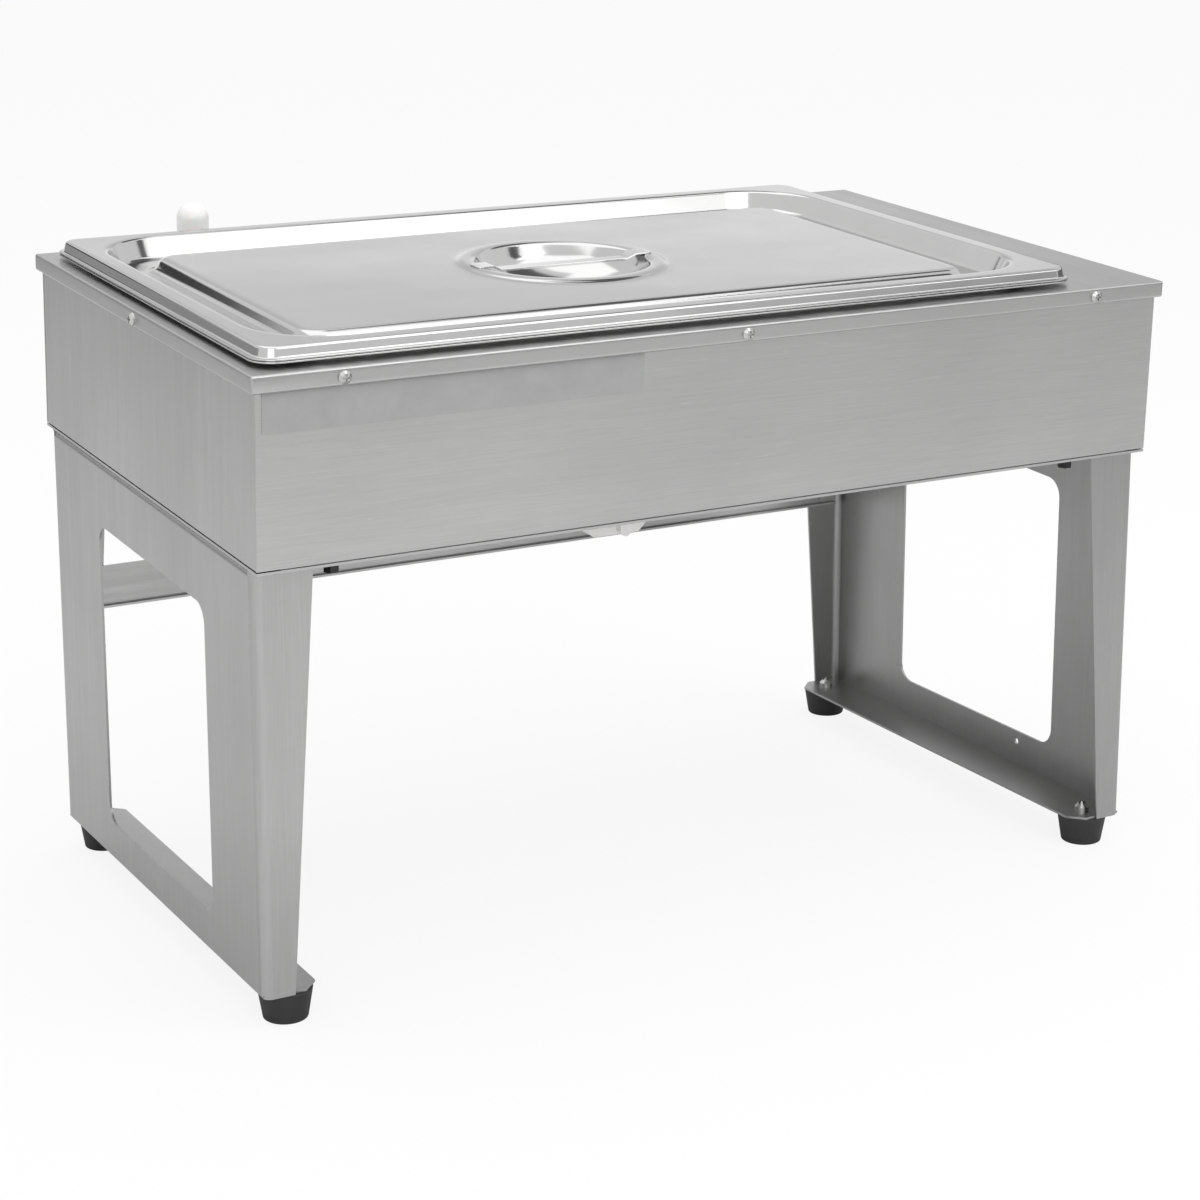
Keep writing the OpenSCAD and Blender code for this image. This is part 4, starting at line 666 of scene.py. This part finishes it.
def floor():
    """A pale floor that keeps the object's shadow, and that the camera sees nearly white."""
    bm = bmesh.new()
    bmesh.ops.create_grid(bm, x_segments=1, y_segments=1, size=30.0)
    material, tree, surface = bare("floor_pale")
    matt = node(tree, "ShaderNodeBsdfDiffuse", sockets={"Color": (0.8, 0.8, 0.8, 1.0)})
    glow = node(tree, "ShaderNodeEmission", sockets={"Color": WHITE, "Strength": 1.0})
    path = node(tree, "ShaderNodeLightPath")
    share = math_node(tree, "MULTIPLY", path.outputs["Is Camera Ray"], 0.86)
    mixed = node(tree, "ShaderNodeMixShader",
                 sockets={0: share, 1: matt.outputs[0], 2: glow.outputs[0]})
    tree.links.new(mixed.outputs[0], surface)
    made = shown_mesh("floor", bm, material)


def card(name, corner_to_corner, centre, aim, grey):
    """A soft panel beside the object that only the steel's reflections see."""
    bm = bmesh.new()
    bmesh.ops.create_grid(bm, x_segments=1, y_segments=1, size=0.5)
    bmesh.ops.scale(bm, verts=bm.verts, vec=(*corner_to_corner, 1))
    turned = facing(centre, Vector(aim) - Vector(centre), "Z")
    bmesh.ops.transform(bm, matrix=turned, verts=bm.verts)
    material, tree, surface = bare(name)
    glow = node(tree, "ShaderNodeEmission",
                sockets={"Color": (grey, grey, grey, 1.0), "Strength": 1.0})
    tree.links.new(glow.outputs[0], surface)
    made = shown_mesh(name, bm, material)
    made.visible_camera = False
    made.visible_diffuse = False
    made.visible_shadow = False
    made.visible_transmission = False


def lamp(name, place, aim, size, power):
    """A soft lamp that faces a point."""
    light = bpy.data.lights.new(name, "AREA")
    light.shape = "RECTANGLE"
    light.size, light.size_y = size
    light.energy = power
    made = bpy.data.objects.new(name, light)
    bpy.context.scene.collection.objects.link(made)
    made.matrix_world = facing(place, Vector(aim) - Vector(place), "-Z")


def white_world():
    """White behind the object and in reflections, and softer light on matt surfaces."""
    world = bpy.data.worlds.new("studio")
    bpy.context.scene.world = world
    world.use_nodes = True
    tree = world.node_tree
    tree.nodes.clear()
    path = node(tree, "ShaderNodeLightPath")
    mirrored = math_node(tree, "MAXIMUM", path.outputs["Is Glossy Ray"],
                         path.outputs["Is Transmission Ray"])
    seen = math_node(tree, "MAXIMUM", path.outputs["Is Camera Ray"], mirrored)
    soft = node(tree, "ShaderNodeBackground", sockets={"Color": WHITE, "Strength": 0.85})
    plain = node(tree, "ShaderNodeBackground", sockets={"Color": WHITE, "Strength": 1.0})
    mixed = node(tree, "ShaderNodeMixShader",
                 sockets={0: seen, 1: soft.outputs[0], 2: plain.outputs[0]})
    out = node(tree, "ShaderNodeOutputWorld")
    tree.links.new(mixed.outputs[0], out.inputs["Surface"])


floor()
white_world()
card("card_left", (3.0, 0.85), (-1.75, 1.45, 0.45), (0, 0, 0.45), 0.4)
card("card_right", (3.8, 0.8), (2.2, 0.25, 0.42), (0, 0.1, 0.42), 0.22)
card("card_rear", (3.2, 1.2), (1.25, 2.3, 1.63), (0, 0, 1.63), 0.78)
card("card_front", (3.6, 0.5), (1.0, -2.3, 0.26), (0, 0, 0.26), 0.15)
card("card_skirt", (2.2, 0.55), (1.05, -2.28, 0.57), (0, 0, 0.57), 0.2)
card("card_step", (0.7, 0.52), (-0.82, 2.25, 1.06), (0, 0, 1.06), 0.06)
card("card_side", (0.7, 0.7), (1.25, -0.95, 1.75), (0, 0, 0.38), 0.1)
card("card_over", (1.1, 1.1), (0.9, 0.6, 2.0), (0, 0, 0.38), 0.15)
card("card_low", (0.9, 0.7), (-0.08, -0.7, 0.03), (-0.08, -0.7, 1.0), 1.2)
lamp("lamp_over", (0.1, 0.2, 2.2), (0, 0, 0.3), (2.4, 2.4), 16)
lamp("lamp_left", (-1.2, -2.0, 1.5), (0, 0, 0.3), (1.4, 1.4), 9)
lamp("lamp_front", (0.8, -1.35, 1.65), (0, 0, 0.38), (1.7, 1.4), 12)

AZIMUTH, ELEVATION = math.radians(-29.135), math.radians(12.502)
CAMERA_PLACE = (-0.82749, -1.48427, 0.65124)
back = Vector((math.sin(AZIMUTH) * math.cos(ELEVATION), -math.cos(AZIMUTH) * math.cos(ELEVATION),
               math.sin(ELEVATION)))
lens = bpy.data.cameras.new("camera")
lens.sensor_width = 36
lens.lens = 83.85
lens.shift_y = -0.15
camera = bpy.data.objects.new("camera", lens)
bpy.context.scene.collection.objects.link(camera)
camera.matrix_world = facing(CAMERA_PLACE, -back, "-Z")
bpy.context.scene.camera = camera
bpy.context.scene.view_settings.view_transform = "Standard"
